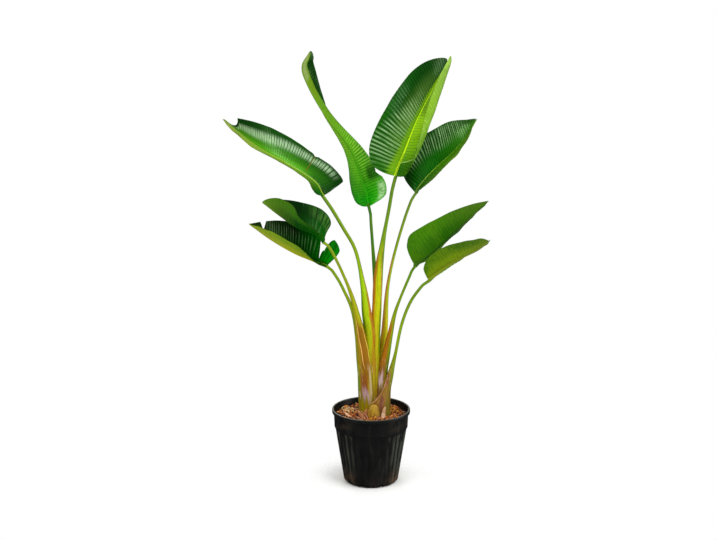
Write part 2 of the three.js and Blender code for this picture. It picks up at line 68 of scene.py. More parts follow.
# %% [markdown]
# The camera
#
# The photograph looks slightly down on the pot: its rim is a flat ellipse.
# Such an ellipse gives the camera's angle, 11.3 degrees below level, and the
# pot's width against the frame gives the lens at a distance of 3.4 m. The view
# is framed by turning and moving the camera only, without any lens shift.

# %% Place the camera
CAMERA_PLACE = (-0.0427, -3.4, 1.38)
CAMERA_DIP = 11.3
CAMERA_LENS = 54.9
SENSOR_WIDTH = 36

bpy.ops.object.select_all(action="DESELECT")
bpy.ops.object.camera_add(location=CAMERA_PLACE, rotation=(math.radians(90 - CAMERA_DIP), 0, 0))
camera = bpy.context.object
camera.name = "photo_camera"
camera.data.lens = CAMERA_LENS
camera.data.sensor_width = SENSOR_WIDTH
bpy.context.scene.camera = camera
bpy.context.scene.view_settings.view_transform = "Standard"
print("camera at", CAMERA_PLACE, "lens", CAMERA_LENS, "mm")

# %% [markdown]
# Materials out of nodes
#
# Every finish here is a small network of nodes. The first helpers turn a
# written colour into the linear numbers that Blender works with, start a
# material, add one node with its inputs set or joined, and read what a mesh
# keeps for its material: the place in the object, or a named attribute.

# %% Helpers for colours and single nodes
def colour(code):
    """A colour written as six hexadecimal digits, as linear red, green, blue and 1."""
    parts = [int(code[i:i + 2], 16) / 255 for i in (0, 2, 4)]
    return tuple(p / 12.92 if p <= 0.04045 else ((p + 0.055) / 1.055) ** 2.4 for p in parts) + (1.0,)


def new_material(name):
    material = bpy.data.materials.new(name)
    material.use_nodes = True
    tree = material.node_tree
    return material, tree, tree.nodes["Principled BSDF"]


def add(tree, kind, inputs=None, **settings):
    """A new node, with its settings made and its inputs set or joined."""
    node = tree.nodes.new(kind)
    for key, value in settings.items():
        setattr(node, key, value)
    for key, value in (inputs or {}).items():
        if isinstance(value, bpy.types.NodeSocket):
            tree.links.new(value, node.inputs[key])
        else:
            node.inputs[key].default_value = value
    return node


def object_place(tree):
    return add(tree, "ShaderNodeTexCoord").outputs["Object"]


def stored(tree, name):
    """The three numbers of a named attribute: its vector, and each of them alone."""
    vector = add(tree, "ShaderNodeAttribute", attribute_name=name).outputs["Vector"]
    parts = add(tree, "ShaderNodeSeparateXYZ", {0: vector})
    return vector, parts.outputs[0], parts.outputs[1], parts.outputs[2]


print("the written grey 808080 is", round(colour("808080")[0], 3), "in linear light")

# %% [markdown]
# Everyday steps between nodes
#
# A network stays readable when its usual steps have short names: arithmetic,
# a soft step, a mix of two colours, a coat of one colour laid over the paint,
# noise, a ramp of colours, a stretched pattern and a bump. Each helper gives
# back the socket that the next step reads.

# %% Helpers for arithmetic and patterns
def calc(tree, operation, a, b=0.0, clamp=False):
    node = add(tree, "ShaderNodeMath", {0: a, 1: b}, operation=operation, use_clamp=clamp)
    return node.outputs[0]


def times(tree, first, *others):
    """The product of two or more factors."""
    for other in others:
        first = calc(tree, "MULTIPLY", first, other)
    return first


def rise(tree, value, low, high):
    """0 below low and 1 above high, with a soft step between them; low may be the larger."""
    node = add(tree, "ShaderNodeMapRange", {0: value, 1: low, 2: high}, interpolation_type="SMOOTHSTEP")
    return node.outputs[0]


def between(tree, value, low, high, soft):
    """1 from low to high, fading out on both sides; low and high may be joined values."""
    above = rise(tree, calc(tree, "SUBTRACT", value, low), -soft, soft)
    below = rise(tree, calc(tree, "SUBTRACT", value, high), soft, -soft)
    return times(tree, above, below)


def blend(tree, factor, first, second):
    node = add(tree, "ShaderNodeMix", {0: factor, 6: first, 7: second}, data_type="RGBA")
    return node.outputs[2]


def coat(tree, paint, code, *factors):
    """Lays a colour over the paint, where and as strongly as the product of the factors says."""
    return blend(tree, times(tree, *factors), paint, colour(code))


def noise(tree, where, scale, detail=3.0):
    node = add(tree, "ShaderNodeTexNoise",
               {"Vector": where, "Scale": scale, "Detail": detail, "Roughness": 0.55})
    return node.outputs["Fac"]


def ramp(tree, factor, stops):
    """Colours along a factor: stops are (place, colour code)."""
    node = add(tree, "ShaderNodeValToRGB", {"Fac": factor})
    line = node.color_ramp
    while len(line.elements) < len(stops):
        line.elements.new(0.5)
    for element, (place, code) in zip(line.elements, stops):
        element.position = place
        element.color = colour(code)
    return node.outputs["Color"]


def stretched(tree, where, scale):
    return add(tree, "ShaderNodeMapping", {"Vector": where, "Scale": scale}).outputs["Vector"]


def roughen(tree, shader, height, strength, distance):
    bump = add(tree, "ShaderNodeBump", {"Height": height, "Strength": strength, "Distance": distance})
    tree.links.new(bump.outputs["Normal"], shader.inputs["Normal"])


steps = [calc, times, rise, between, blend, coat, noise, ramp, stretched, roughen]
print("steps:", ", ".join(step.__name__ for step in steps))

# %% [markdown]
# The studio floor
#
# The photograph is a cut-out on plain white. A pale floor that fades into a
# white surround comes closest. It fades twice, because Blender can tell the
# camera's rays from the others: the camera sees it only close to the pot, where
# it carries a faint shadow, while the light that it throws up at the plant comes
# from a disc some metres wide.

# %% Lay the floor
FLOOR_SIZE = 60
FLOOR_GAP = 0.6 * MM
LIT_EDGE = (0.7, 1.9)
SEEN_EDGE = (0.09, 0.24)


def build_floor():
    bpy.ops.object.select_all(action="DESELECT")
    bpy.ops.mesh.primitive_grid_add(x_subdivisions=12, y_subdivisions=12, size=FLOOR_SIZE,
                                    location=(0, 0, -FLOOR_GAP))
    floor = bpy.context.object
    floor.name = "studio_floor"
    material, tree, shader = new_material("pale_floor")
    spot = object_place(tree)
    paint = ramp(tree, noise(tree, spot, 3.0), [(0.3, "f4f4f3"), (0.7, "f8f8f7")])
    tree.links.new(paint, shader.inputs["Base Color"])
    shader.inputs["Roughness"].default_value = 0.9
    away = add(tree, "ShaderNodeVectorMath", {0: spot}, operation="LENGTH").outputs["Value"]
    rays = add(tree, "ShaderNodeLightPath")
    lit = rise(tree, away, LIT_EDGE[1], LIT_EDGE[0])
    seen = rise(tree, away, SEEN_EDGE[1], SEEN_EDGE[0])
    fade = add(tree, "ShaderNodeMix", {0: rays.outputs["Is Camera Ray"], 2: lit, 3: seen})
    tree.links.new(fade.outputs[0], shader.inputs["Alpha"])
    floor.data.materials.append(material)
    floor.visible_glossy = False
    floor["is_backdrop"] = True


build_floor()
print("floor of", FLOOR_SIZE, "m, seen as far as", SEEN_EDGE[1], "m from the pot's middle")

# %% [markdown]
# The surround
#
# Dark leaves would mirror a white surround and turn milky, so the surround is
# white for the camera, softer for the light on the plant, and dim for
# reflected rays. A switch on the kind of ray does this. The renderer's direct
# sampling of the surround would pass by that switch, so it is off.

# %% Set the surround
def build_surround():
    world = bpy.data.worlds.new("studio_surround")
    world.use_nodes = True
    bpy.context.scene.world = world
    tree = world.node_tree
    soft = tree.nodes["Background"]
    soft.inputs["Color"].default_value = (1, 1, 0.97, 1)
    soft.inputs["Strength"].default_value = 0.66
    white = add(tree, "ShaderNodeBackground", {"Color": (1, 1, 1, 1), "Strength": 1.0})
    mirrored = add(tree, "ShaderNodeBackground", {"Color": (0.9, 0.95, 1, 1), "Strength": 0.05})
    rays = add(tree, "ShaderNodeLightPath")
    inner = add(tree, "ShaderNodeMixShader",
                {0: rays.outputs["Is Glossy Ray"], 1: soft.outputs[0], 2: mirrored.outputs[0]})
    outer = add(tree, "ShaderNodeMixShader",
                {0: rays.outputs["Is Camera Ray"], 1: inner.outputs[0], 2: white.outputs[0]})
    tree.links.new(outer.outputs[0], tree.nodes["World Output"].inputs["Surface"])
    world.cycles.sampling_method = "NONE"
    return world


print("surround:", build_surround().name)

# %% [markdown]
# The lights
#
# The lights are soft panels. Where a panel has to stand to draw a gloss follows
# from the leaf: its normal is halfway between the eye and the panel. The tall
# leaf's left half asks for one at the right, level with it, and the upper left
# leaf for a long one high up in front. Two weaker panels fill in from the left
# and from behind.

# %% Hang the lights
def soft_light(name, place, target, size, power, long=1.0):
    bpy.ops.object.light_add(type="AREA", location=place)
    light = bpy.context.object
    light.name = name
    aim = Vector(target) - Vector(place)
    light.rotation_euler = aim.to_track_quat("-Z", "Y").to_euler()
    light.data.shape = "RECTANGLE"
    light.data.size = size
    light.data.size_y = size * long
    light.data.energy = power


PLANT_MIDDLE = (0, 0, 0.9)
soft_light("overhead_panel", (0.65, -1.0, 3.3), (-0.2, -0.1, 1.0), 0.9, 58, 3.0)
soft_light("right_panel", (3.0, -0.6, 1.0), (0.1, 0.05, 1.1), 0.9, 38)
soft_light("left_panel", (-2.6, -1.9, 2.5), PLANT_MIDDLE, 1.5, 30)
soft_light("back_panel", (-0.6, 2.8, 2.4), PLANT_MIDDLE, 2.0, 30)
print("four soft panels, the longest 2.7 m")

# %% [markdown]
# How a leaf is described
#
# A leaf is one smooth route from the pot to the tip, with two blade halves
# hung on its upper part, in millimetres and degrees. sheath is its half width
# across the fan, its half width through the fan, and the heights between which
# it narrows to the petiole. A half is share times half_width wide. fold is how
# far it turns up from the midrib and curl how much more it turns on its way to
# the margin, each at the base, the middle and the tip. rise and fall say how
# fast the blade widens and narrows, and lean how far its first veins point
# forward. roll is where across a half its margin starts to roll, and how far it
# rolls at the base, the middle and the tip. Nearly all these values are the
# CAD source's own. The scene adds how far the base is rounded, how wide the tip
# stays, how far apart the side veins are, and one rolled margin, and it gives a
# few halves a fuller outline or a lean of their own, nearer to the photograph.
# A tear is a notch: its place, its depth, its reach and the power that curves
# its sides.

# %% The eight leaves
LEAVES = {
    "top_left": dict(
        root=(20, 4), sheath=(9, 12, 560, 800), petiole=5,
        stalk=[(19, 4, 400), (15, 6, 560), (13, 14, 650), (6, 38, 750), (0, 72, 830)],
        midrib=[(-5, 110, 890), (-25, 115, 960), (-65, 120, 1070), (-150, 120, 1185),
                (-205, 115, 1280), (-220, 110, 1335), (-197, 120, 1379)],
        face=(1, 0.6, 0.3), twist=(20, 35, -85), lean=0, half_width=87, rise=0.36, fall=0.8,
        rounded=0.07, tip=4, veins=8.5,
        left=dict(fold=(-5, 65, 80), curl=(10, 85, 45), share=0.92,
                  tears=[(0.2, 0.16, 0.035, 1)]),
        right=dict(fold=(0, 45, 75), curl=(5, 70, 20), share=1, fall=0.74)),
    "top_right": dict(
        root=(9, -4), sheath=(15, 15, 640, 860), petiole=5.5,
        stalk=[(13, -5, 400), (14, -5, 505), (18, -3, 590), (24, 3, 700), (37, 15, 795),
               (55, 28, 890)],
        midrib=[(75, 45, 995), (105, 55, 1075), (140, 85, 1160), (185, 115, 1245),
                (245, 149, 1342)],
        face=(-0.5, -1, 0.5), twist=(0, 35, 0), lean=-5, half_width=122, rise=0.41, fall=0.75,
        veins=9.5,
        left=dict(fold=(25, 35, 10), curl=(-25, -10, -15), share=1.05, fall=0.62),
        right=dict(fold=(20, 20, 5), curl=(45, 120, 140), share=1, fall=0.5,
                   roll=(0.55, (-45, 50, 40)))),
    "upper_left": dict(
        root=(0, -5), sheath=(18, 18.5, 490, 740), petiole=5.5,
        stalk=[(0, -9, 370), (-6, -13, 500), (-16, -17, 570), (-26, -19, 650), (-50, -20, 765),
               (-90, -19, 840)],
        midrib=[(-150, -10, 940), (-180, 0, 985), (-270, 25, 1040), (-360, 40, 1090),
                (-465, 75, 1170)],
        face=(0.3, -0.7, 0.6), twist=(10, -10, -60), lean=5, half_width=100, rise=0.47, fall=0.8,
        veins=7.5,
        left=dict(fold=(20, 45, 70), curl=(5, 25, 25), share=0.8),
        right=dict(fold=(20, -10, 25), curl=(-15, -5, 35), share=1.1, rise=0.32, fall=0.7,
                   lean=-5, rounded=0.09,
                   tears=[(0.35, 0.07, 0.02, 1), (0.97, 1, 0.09, 0.4)])),
    "upper_right": dict(
        root=(24, 8), sheath=(14, 20, 340, 700), petiole=4.5,
        stalk=[(29, 12, 370), (43, 22, 490), (50, 33, 610), (62, 42, 690), (84, 55, 780),
               (115, 66, 880)],
        midrib=[(140, 65, 940), (175, 85, 985), (215, 120, 1020), (280, 140, 1080),
                (340, 170, 1160)],
        face=(-0.5, -1, 0.8), twist=(-10, 35, 0), lean=10, half_width=105, rise=0.6, fall=0.78,
        veins=8.5,
        left=dict(fold=(5, 30, -10), curl=(-30, -10, -50), share=1.1),
        right=dict(fold=(35, 65, 45), curl=(-5, 25, 40), share=0.9)),
    "middle_left": dict(
        root=(-9, -12), sheath=(19, 22.5, 400, 690), petiole=5,
        stalk=[(-16, -16, 350), (-26, -22, 444), (-40, -34, 530), (-60, -52, 620),
               (-90, -74, 705), (-122, -90, 775)],
        midrib=[(-145, -100, 810), (-175, -95, 835), (-230, -100, 855), (-280, -110, 890),
                (-330, -120, 930)],
        face=(0.3, 0, 1), twist=(0, -10, 50), lean=15, half_width=88, rise=0.44, fall=0.86,
        left=dict(fold=(30, 50, 70), curl=(-20, -10, 15), share=1.05),
        right=dict(fold=(20, 55, 60), curl=(-10, 15, 10), share=0.95)),
    "middle_right": dict(
        root=(31, -4), sheath=(16, 24, 300, 640), petiole=4.5,
        stalk=[(36, -6, 345), (47, -11, 420), (60, -18, 495), (74, -27, 565), (92, -36, 620),
               (116, -44, 682)],
        midrib=[(135, -50, 725), (170, -80, 760), (225, -110, 815), (280, -155, 880),
                (340, -200, 945)],
        face=(-0.3, 0.5, 1), twist=(-25, -10, -15), lean=5, half_width=86, rise=0.38, fall=0.94, tip=5,
        left=dict(fold=(40, 35, 30), curl=(-15, -10, 0), share=0.85),
        right=dict(fold=(55, 40, 55), curl=(10, 0, 10), share=1)),
    "lower_left": dict(
        root=(-20, -5), sheath=(20, 27, 270, 560), petiole=5,
        stalk=[(-26, -9, 340), (-36, -10, 415), (-46, -12, 490), (-62, -15, 575),
               (-88, -20, 640), (-112, -23, 685)],
        midrib=[(-140, -25, 720), (-185, -10, 735), (-245, 5, 755), (-320, 40, 790),
                (-390, 65, 835)],
        face=(0.3, -0.3, 1), twist=(-25, -10, 0), lean=-15, half_width=98, rise=0.42, fall=0.9,
        rounded=0.02, veins=9.5,
        left=dict(fold=(40, 55, 50), curl=(-10, 5, -10), share=1,
                  tears=[(0, 0.75, 0.12, 1)]),
        right=dict(fold=(40, 65, 25), curl=(10, 20, -25), share=1.1,
                   tears=[(0.17, 0.92, 0.045, 1), (0.13, 0.55, 0.05, 1.6), (0.84, 0.7, 0.03, 1)])),
    "lower_right": dict(
        root=(43, -6), sheath=(20, 28, 230, 450), petiole=5,
        stalk=[(48, -10, 305), (60, -17, 355), (76, -29, 430), (94, -47, 530), (118, -67, 605),
               (146, -86, 655)],
        midrib=[(175, -100, 690), (215, -130, 730), (260, -180, 770), (310, -230, 805),
                (338, -257, 834)],
        face=(-0.3, 0.5, 1), twist=(-20, -15, 0), lean=5, half_width=65, rise=0.45, fall=0.75, tip=9,
        left=dict(fold=(35, 35, 40), curl=(-5, -5, -5), share=0.95),
        right=dict(fold=(45, 40, 50), curl=(0, -10, 15), share=0.9)),
}
print(len(LEAVES), "leaves")

# %% [markdown]
# The route of a leaf
#
# A Catmull-Rom curve passes smoothly through every given point, so the points
# can be read straight off a photograph. It is worked out here for many places
# at once: for each place it gives the point and the way the route runs there.

# %% Follow a route
ROOT_HEIGHT = 180
ROOT_TOP = 235


def leaf_route(leaf):
    """The route's points in metres, and how many of them belong to the stalk."""
    x, y = leaf["root"]
    stalk = [(x, y, ROOT_HEIGHT), (x, y, ROOT_TOP), *leaf["stalk"]]
    return np.array(stalk + leaf["midrib"], float) * MM, len(stalk)


def unit(vectors):
    return vectors / np.linalg.norm(vectors, axis=-1, keepdims=True)


def along_route(points, places):
    last = len(points) - 1
    padded = np.vstack([2 * points[0] - points[1], points, 2 * points[last] - points[last - 1]])
    whole = np.clip(np.floor(places).astype(int), 0, last - 1)
    f = (places - whole)[:, None]
    before, start, end, after = (padded[whole + k] for k in range(4))
    leave, arrive = (end - before) / 2, (after - start) / 2
    cubic = 2 * start - 2 * end + leave + arrive
    square = -3 * start + 3 * end - 2 * leave - arrive
    centre = ((cubic * f + square) * f + leave) * f + start
    return centre, unit((3 * cubic * f + 2 * square) * f + leave)


def walked_to(points):
    """How far each point lies from the first one, along the line through them."""
    return np.concatenate([[0], np.cumsum(np.linalg.norm(np.diff(points, axis=0), axis=1))])


for name, leaf in LEAVES.items():
    print(name, "is", round(walked_to(leaf_route(leaf)[0])[-1], 2), "m long from root to tip")

# %% [markdown]
# Frames along the midrib
#
# The two halves hang on the midrib, so each place along it needs three
# directions: onward, up out of the blade's upper side, and sideways. face says
# where the upper side looks, and twist turns it about the midrib, at the base,
# the middle and the tip. There are about five rows of points to a side vein,
# which is just enough for the pleats between the veins.

# %% Walk along a midrib
VEIN_SPACING = 11
ROWS_TO_A_VEIN = 5.25
BLADE_TRIAL_POINTS = 400


def square_to(direction, along):
    flat = direction - along * (along * direction).sum(-1, keepdims=True)
    return unit(flat)


def through(values, t):
    """The curve through three values that stand at 0, 0.5 and 1."""
    start, middle, end = values
    return start * (1 - t) * (1 - 2 * t) + middle * 4 * t * (1 - t) + end * t * (2 * t - 1)


def vein_spacing(leaf):
    return leaf.get("veins", VEIN_SPACING) * MM


def blade_lines(leaf):
    """Places along the midrib, with the frame that stands at each of them."""
    points, first = leaf_route(leaf)
    spans = len(points) - 1
    trial, _ = along_route(points, first + np.linspace(0, 1, BLADE_TRIAL_POINTS) * (spans - first))
    row_spacing = vein_spacing(leaf) / ROWS_TO_A_VEIN
    t = np.linspace(0, 1, int(walked_to(trial)[-1] / row_spacing))
    centre, along = along_route(points, first + t * (spans - first))
    level = square_to(np.array(leaf["face"], float)[None], along)
    turn = np.radians(through(leaf["twist"], t))[:, None]
    up = level * np.cos(turn) + np.cross(along, level) * np.sin(turn)
    return t, walked_to(centre), centre, along, up, np.cross(along, up)


print("the tall leaf's blade has", len(blade_lines(LEAVES["top_right"])[0]), "rows of points")

# %% [markdown]
# The outline of a half
#
# Seen flat, a half opens from the base as one power of the way along and closes
# towards the tip as another, and the two meet where it is widest. Both curves
# reach a little past the blade's ends, so that those aren't needles. A quarter
# round draws the base in to the petiole, and the tears are taken off the width.

# %% Work out the width of a half
BEFORE_BASE = 0.025
BEYOND_TIP = 1.015
ROUNDED_BASE = 0.045
TIP_HALF_WIDTH = 2.5


def width_share(rise_power, fall_power, t):
    widest = (rise_power * BEYOND_TIP - fall_power * BEFORE_BASE) / (rise_power + fall_power)
    opening = ((t + BEFORE_BASE) / (widest + BEFORE_BASE)) ** rise_power
    return opening * ((BEYOND_TIP - t) / (BEYOND_TIP - widest)) ** fall_power


def half_width(leaf, half, t):
    """How wide a half is at each share t of the way from the base to the tip."""
    notch = np.ones_like(t)
    for place, depth, reach, power in half.get("tears", []):
        notch *= 1 - depth * np.clip(1 - np.abs(t - place) / reach, 0, None) ** power
    powers = half.get("rise", leaf["rise"]), half.get("fall", leaf["fall"])
    opened = half["share"] * notch * width_share(*powers, t)
    rounded = np.minimum(1, t / half.get("rounded", leaf.get("rounded", ROUNDED_BASE)))
    opened *= np.sqrt(1 - (1 - rounded) ** 2)
    return np.maximum(leaf.get("tip", TIP_HALF_WIDTH) * MM, leaf["half_width"] * MM * opened)


for name, leaf in LEAVES.items():
    widths = [half_width(leaf, leaf[side], np.linspace(0, 1, 50)).max() for side in ("left", "right")]
    print(name, "halves are", [round(width / MM) for width in widths], "mm wide")

# %% [markdown]
# Fold, curl and roll
#
# Across a half the sheet leaves the midrib at the fold angle and turns steadily
# on its way to the margin, so its section is an arc, and an arc has a short
# formula for how far out and how far up it has come. A rolled margin turns
# faster near its edge. There the small steps across the sheet are summed.

# %% Curl a half
LEAST_CURL = math.radians(0.1)
ROLL_GROWTH = 1.5


def rolled_over(roll, t, share, angle):
    """Turns the outer part of a half further over, and sums its way out and up again."""
    start, turns = roll
    further = np.radians(through(turns, t))[:, None]
    angle = angle + further * np.clip((share - start) / (1 - start), 0, 1) ** ROLL_GROWTH
    middle = (angle[:, 1:] + angle[:, :-1]) / 2
    step = np.diff(share, axis=1)
    zero = np.zeros_like(share[:, :1])
    out, lift = (np.concatenate([zero, np.cumsum(part(middle) * step, axis=1)], axis=1)
                 for part in (np.cos, np.sin))
    return angle, out, lift


def curled(half, t, share):
    """The sheet's angle across a half, and its way out and up, as shares of the width."""
    fold = np.radians(through(half["fold"], t))[:, None]
    curl = np.radians(through(half["curl"], t))[:, None]
    curl = np.where(np.abs(curl) < LEAST_CURL, LEAST_CURL, curl)
    angle = fold + curl * share
    if "roll" in half:
        return rolled_over(half["roll"], t, share, angle)
    return angle, (np.sin(angle) - np.sin(fold)) / curl, (np.cos(fold) - np.cos(angle)) / curl


middle_of_a_blade, across = np.array([0.5]), np.array([[0.0, 1.0]])
margin_angle = curled(LEAVES["top_right"]["right"], middle_of_a_blade, across)[0][0, 1]
print("the rolled margin has turned", round(math.degrees(margin_angle)), "degrees from level")

# %% [markdown]
# Pleats, waves and ripples
#
# Between its side veins a blade rises in small pleats. They break the gloss
# into stripes, so they are modelled, not only painted. A vein number grows by
# one from each side vein to the next, and wanders a little, because real veins
# aren't evenly apart. The margin swings in a slow wave and a quick ripple.

# %% Raise pleats and waves
PLEAT_HEIGHT = 0.65 * MM
PLEAT_START = 0.12
PLEATS_FADE = 12
VEIN_WANDER = 0.3
VEIN_BEND = 0.05
MARGIN_WAVE = 0.9 * MM
WAVES_TO_A_BLADE = 5
LEFT_WAVE_AHEAD = 1.7
RIPPLE = 0.3 * MM
RIPPLE_LENGTH = 41 * MM
WANDER_LENGTHS = (0.31, 0.137, 0.059)


def slow_wander(places, seed, reach=1.0):
    """A smooth random value along a line: three waves with seeded starts."""
    draw = random.Random(seed)
    total = np.zeros_like(places)
    for length in WANDER_LENGTHS:
        total += np.sin(2 * math.pi * (places / length + draw.random())) * (0.5 + draw.random())
    return reach * total / len(WANDER_LENGTHS)


def vein_number(leaf, walked, share, seed):
    vein = walked / vein_spacing(leaf) + slow_wander(walked, seed, VEIN_WANDER)
    return vein[:, None] + VEIN_BEND * np.sin(7 * share + 3 * seed)


def relief(vein, walked, t, share, past_rib, hand, seed):
    """How far each point stands out of the smooth sheet."""
    settled = np.clip(past_rib / PLEAT_START, 0, 1) * np.minimum(1, PLEATS_FADE * (1 - t))[:, None]
    strength = 0.75 + 0.45 * slow_wander(walked, seed + 5)[:, None]
    pleat = PLEAT_HEIGHT * settled * strength * (np.abs(np.sin(math.pi * vein)) - 0.5)
    swing = np.sin(2 * math.pi * WAVES_TO_A_BLADE * t + (LEFT_WAVE_AHEAD if hand < 0 else 0))
    wave = MARGIN_WAVE * share ** 2 * (np.minimum(1, 4 * t) * swing)[:, None]
    ripple = RIPPLE * share ** 3 * np.sin(2 * math.pi * walked / RIPPLE_LENGTH + seed)[:, None]
    return pleat + wave + ripple * settled


print("pleats of", round(PLEAT_HEIGHT / MM, 2), "mm, waves of", round(MARGIN_WAVE / MM, 2), "mm")

# %% [markdown]
# The points of one half
#
# All of this comes together in rows of points, from the midrib out to the
# margin. The first four columns of each half are kept for the midrib. The rows
# lean forward towards the tip, as the side veins do. Three numbers a point are
# kept for the material: the vein it lies on, its distance from the midrib and
# its share of the way to the margin.

# %% Place the points of a half
HALF_COLUMNS = 26
RIB_COLUMNS = 4
VEIN_SWEEP = 50


def half_blade(leaf, lines, hand, rib_half, seed):
    """The points of one half, their outward directions, and what the material needs."""
    t, walked, centre, along, up, side = lines
    half = leaf["left"] if hand < 0 else leaf["right"]
    width = half_width(leaf, half, t)[:, None]
    rib_share = rib_half[:, None] / width
    inner = np.linspace(0, 1, RIB_COLUMNS + 1)[None] * rib_share
    outer = rib_share + (1 - rib_share) * np.linspace(0, 1, HALF_COLUMNS - RIB_COLUMNS + 1)[None, 1:]
    share = np.concatenate([inner, outer], axis=1)
    angle, out, lift = curled(half, t, share)
    facing = (up[:, None] * np.cos(angle)[..., None]
              - hand * side[:, None] * np.sin(angle)[..., None])
    vein = vein_number(leaf, walked, share, seed)
    raised = relief(vein, walked, t, share, share - rib_share, hand, seed)
    lean = half.get("lean", leaf["lean"])
    sweep = np.radians(lean * (1 - t) ** 4 + VEIN_SWEEP * t ** 1.5)[:, None]
    places = (centre[:, None]
              + side[:, None] * (width * np.cos(sweep) * hand * out)[..., None]
              + up[:, None] * (width * np.cos(sweep) * lift)[..., None]
              + along[:, None] * (width * np.sin(sweep) * share)[..., None]
              + facing * raised[..., None])
    return places, facing, np.stack([vein, hand * share * width, share], axis=-1)


print("a blade is", 2 * HALF_COLUMNS + 1, "points across")

# %% [markdown]
# Hands on a mesh
#
# A few helpers do what the hand would do in the window: select a piece, move
# the points of a grid to their places, keep numbers beside the points, give a
# sheet its wall, and shade as smooth what is nearly flat.

# %% Helpers for meshes
def select_only(*pieces):
    """Selects these pieces and nothing else, and makes the first one active."""
    bpy.ops.object.select_all(action="DESELECT")
    for piece in pieces:
        piece.select_set(True)
    bpy.context.view_layer.objects.active = pieces[0]


def move_points(piece, points):
    flat = np.ascontiguousarray(points, dtype=np.float32).ravel()
    piece.data.vertices.foreach_set("co", flat)
    piece.data.update()


def mesh_points(piece):
    points = np.zeros(3 * len(piece.data.vertices), dtype=np.float32)
    piece.data.vertices.foreach_get("co", points)
    return points.reshape(-1, 3)


def placed_grid(name, places):
    """A grid primitive whose points are moved to the given rows and columns of places."""
    rows, columns = places.shape[:2]
    bpy.ops.object.select_all(action="DESELECT")
    bpy.ops.mesh.primitive_grid_add(x_subdivisions=columns - 1, y_subdivisions=rows - 1, size=1)
    sheet = bpy.context.object
    sheet.name = name
    sheet.data.name = name
    move_points(sheet, places)
    return sheet


def store(piece, name, values):
    """Keeps three numbers for each point of a piece, for its material to read."""
    attribute = piece.data.attributes.new(name, "FLOAT_VECTOR", "POINT")
    attribute.data.foreach_set("vector", np.ascontiguousarray(values, dtype=np.float32).ravel())


def thicken(sheet, thickness, under_material=0):
    """Gives a sheet a wall; its underside may take another of its materials."""
    wall = sheet.modifiers.new("wall", "SOLIDIFY")
    wall.thickness = thickness
    wall.offset = 0
    wall.material_offset = under_material
    bpy.ops.object.modifier_apply(modifier=wall.name)


def smooth(piece, degrees):
    select_only(piece)
    bpy.ops.object.shade_smooth_by_angle(angle=math.radians(degrees))


print("ready to build; the scene holds", len(bpy.data.meshes), "meshes so far")

# %% [markdown]
# From points to a leaf blade
#
# A grid has exactly the blade's topology: its rows become the side veins and
# its middle column the midrib. Solidify gives the sheet its thickness and gives
# the copied underside the second material, which has to be in place before the
# modifier is applied. The copy's points come after the sheet's own, in the same
# order, so the ones along the middle can then be pushed down into the rounded
# keel that the midrib shows on a real blade's underside.

# %% Build a blade
BLADE_THICKNESS = 1.0 * MM
RIB_HALF_WIDTH = 4.5 * MM
RIB_TAPER = 0.8
RIB_MOST = 0.25
KEEL_DEPTH = 7.5 * MM
GROOVE_DEPTH = 1.0 * MM


def build_blade(name, leaf, seed, finishes):
    lines = blade_lines(leaf)
    t, _, _, _, up, _ = lines
    narrowest = np.minimum(half_width(leaf, leaf["left"], t), half_width(leaf, leaf["right"], t))
    rib_half = np.minimum(RIB_HALF_WIDTH * (1 - RIB_TAPER * t), RIB_MOST * narrowest)
    left = half_blade(leaf, lines, -1, rib_half, seed)
    right = half_blade(leaf, lines, 1, rib_half, seed + 0.5)
    places, facing, notes = (np.concatenate([one[:, :0:-1], other], axis=1)
                             for one, other in zip(left, right))
    facing[:, HALF_COLUMNS] = up
    reach = np.abs(notes[..., 1]) / rib_half[:, None]
    hump = np.sqrt(np.clip(1 - reach ** 2, 0, 1))
    groove = GROOVE_DEPTH * (1 - t)[:, None] * hump
    blade = placed_grid("leaf_" + name + "_blade_dressed", places - facing * groove[..., None])
    for finish in finishes:
        blade.data.materials.append(finish)
    store(blade, "vein", notes)
    lengthways = np.stack([t, 0 * t, 0 * t], axis=-1)
    store(blade, "place", np.broadcast_to(lengthways[:, None], notes.shape))
    thicken(blade, BLADE_THICKNESS, 1)
    keel = KEEL_DEPTH * ((1 - t) * (1 - RIB_TAPER * t))[:, None] * hump
    points = mesh_points(blade)
    points[keel.size:2 * keel.size] -= (facing * keel[..., None]).reshape(-1, 3)
    move_points(blade, points)
    smooth(blade, 60)
    return blade


print("a midrib stands out by up to", round(KEEL_DEPTH / MM, 1), "mm below its blade")

# %% [markdown]
# The colour of a blade
#
# Seen from above, a blade is deep green with a yellow midrib, a fresh
# yellow-green band beside it, painted shade in the creases at the side veins and
# a waxy gloss between them, which pale painted stripes help along as painted
# highlights. Seen from below it is paler and duller. Both faces read the
# numbers kept on the mesh, so the pattern follows the veins however the leaf
# bends. These helpers read the numbers and spread colours along and across.

# %% Helpers for blade colours
def blade_reads(tree):
    """What a blade's material reads: its stored numbers, and two values worked out of them."""
    _, vein, distance, share = stored(tree, "vein")
    _, t, _, _ = stored(tree, "place")
    return SimpleNamespace(vein=vein, distance=distance, share=share, t=t, spot=object_place(tree),
                           away=calc(tree, "ABSOLUTE", distance),
                           beside=calc(tree, "PINGPONG", vein, 0.5))


def lengthwise(tree, t, codes):
    """Colours from a blade's base over its middle to its tip."""
    return ramp(tree, t, list(zip((0.06, 0.5, 0.94), codes.split())))


def two_halves(tree, on, left, right):
    """Each half has its colours beside the midrib and its colours at the margin."""
    outer = rise(tree, on.share, 0.2, 0.75)
    sides = [blend(tree, outer, lengthwise(tree, on.t, near), lengthwise(tree, on.t, far))
             for near, far in (left, right)]
    return blend(tree, rise(tree, on.distance, -0.5 * MM, 0.5 * MM), *sides)


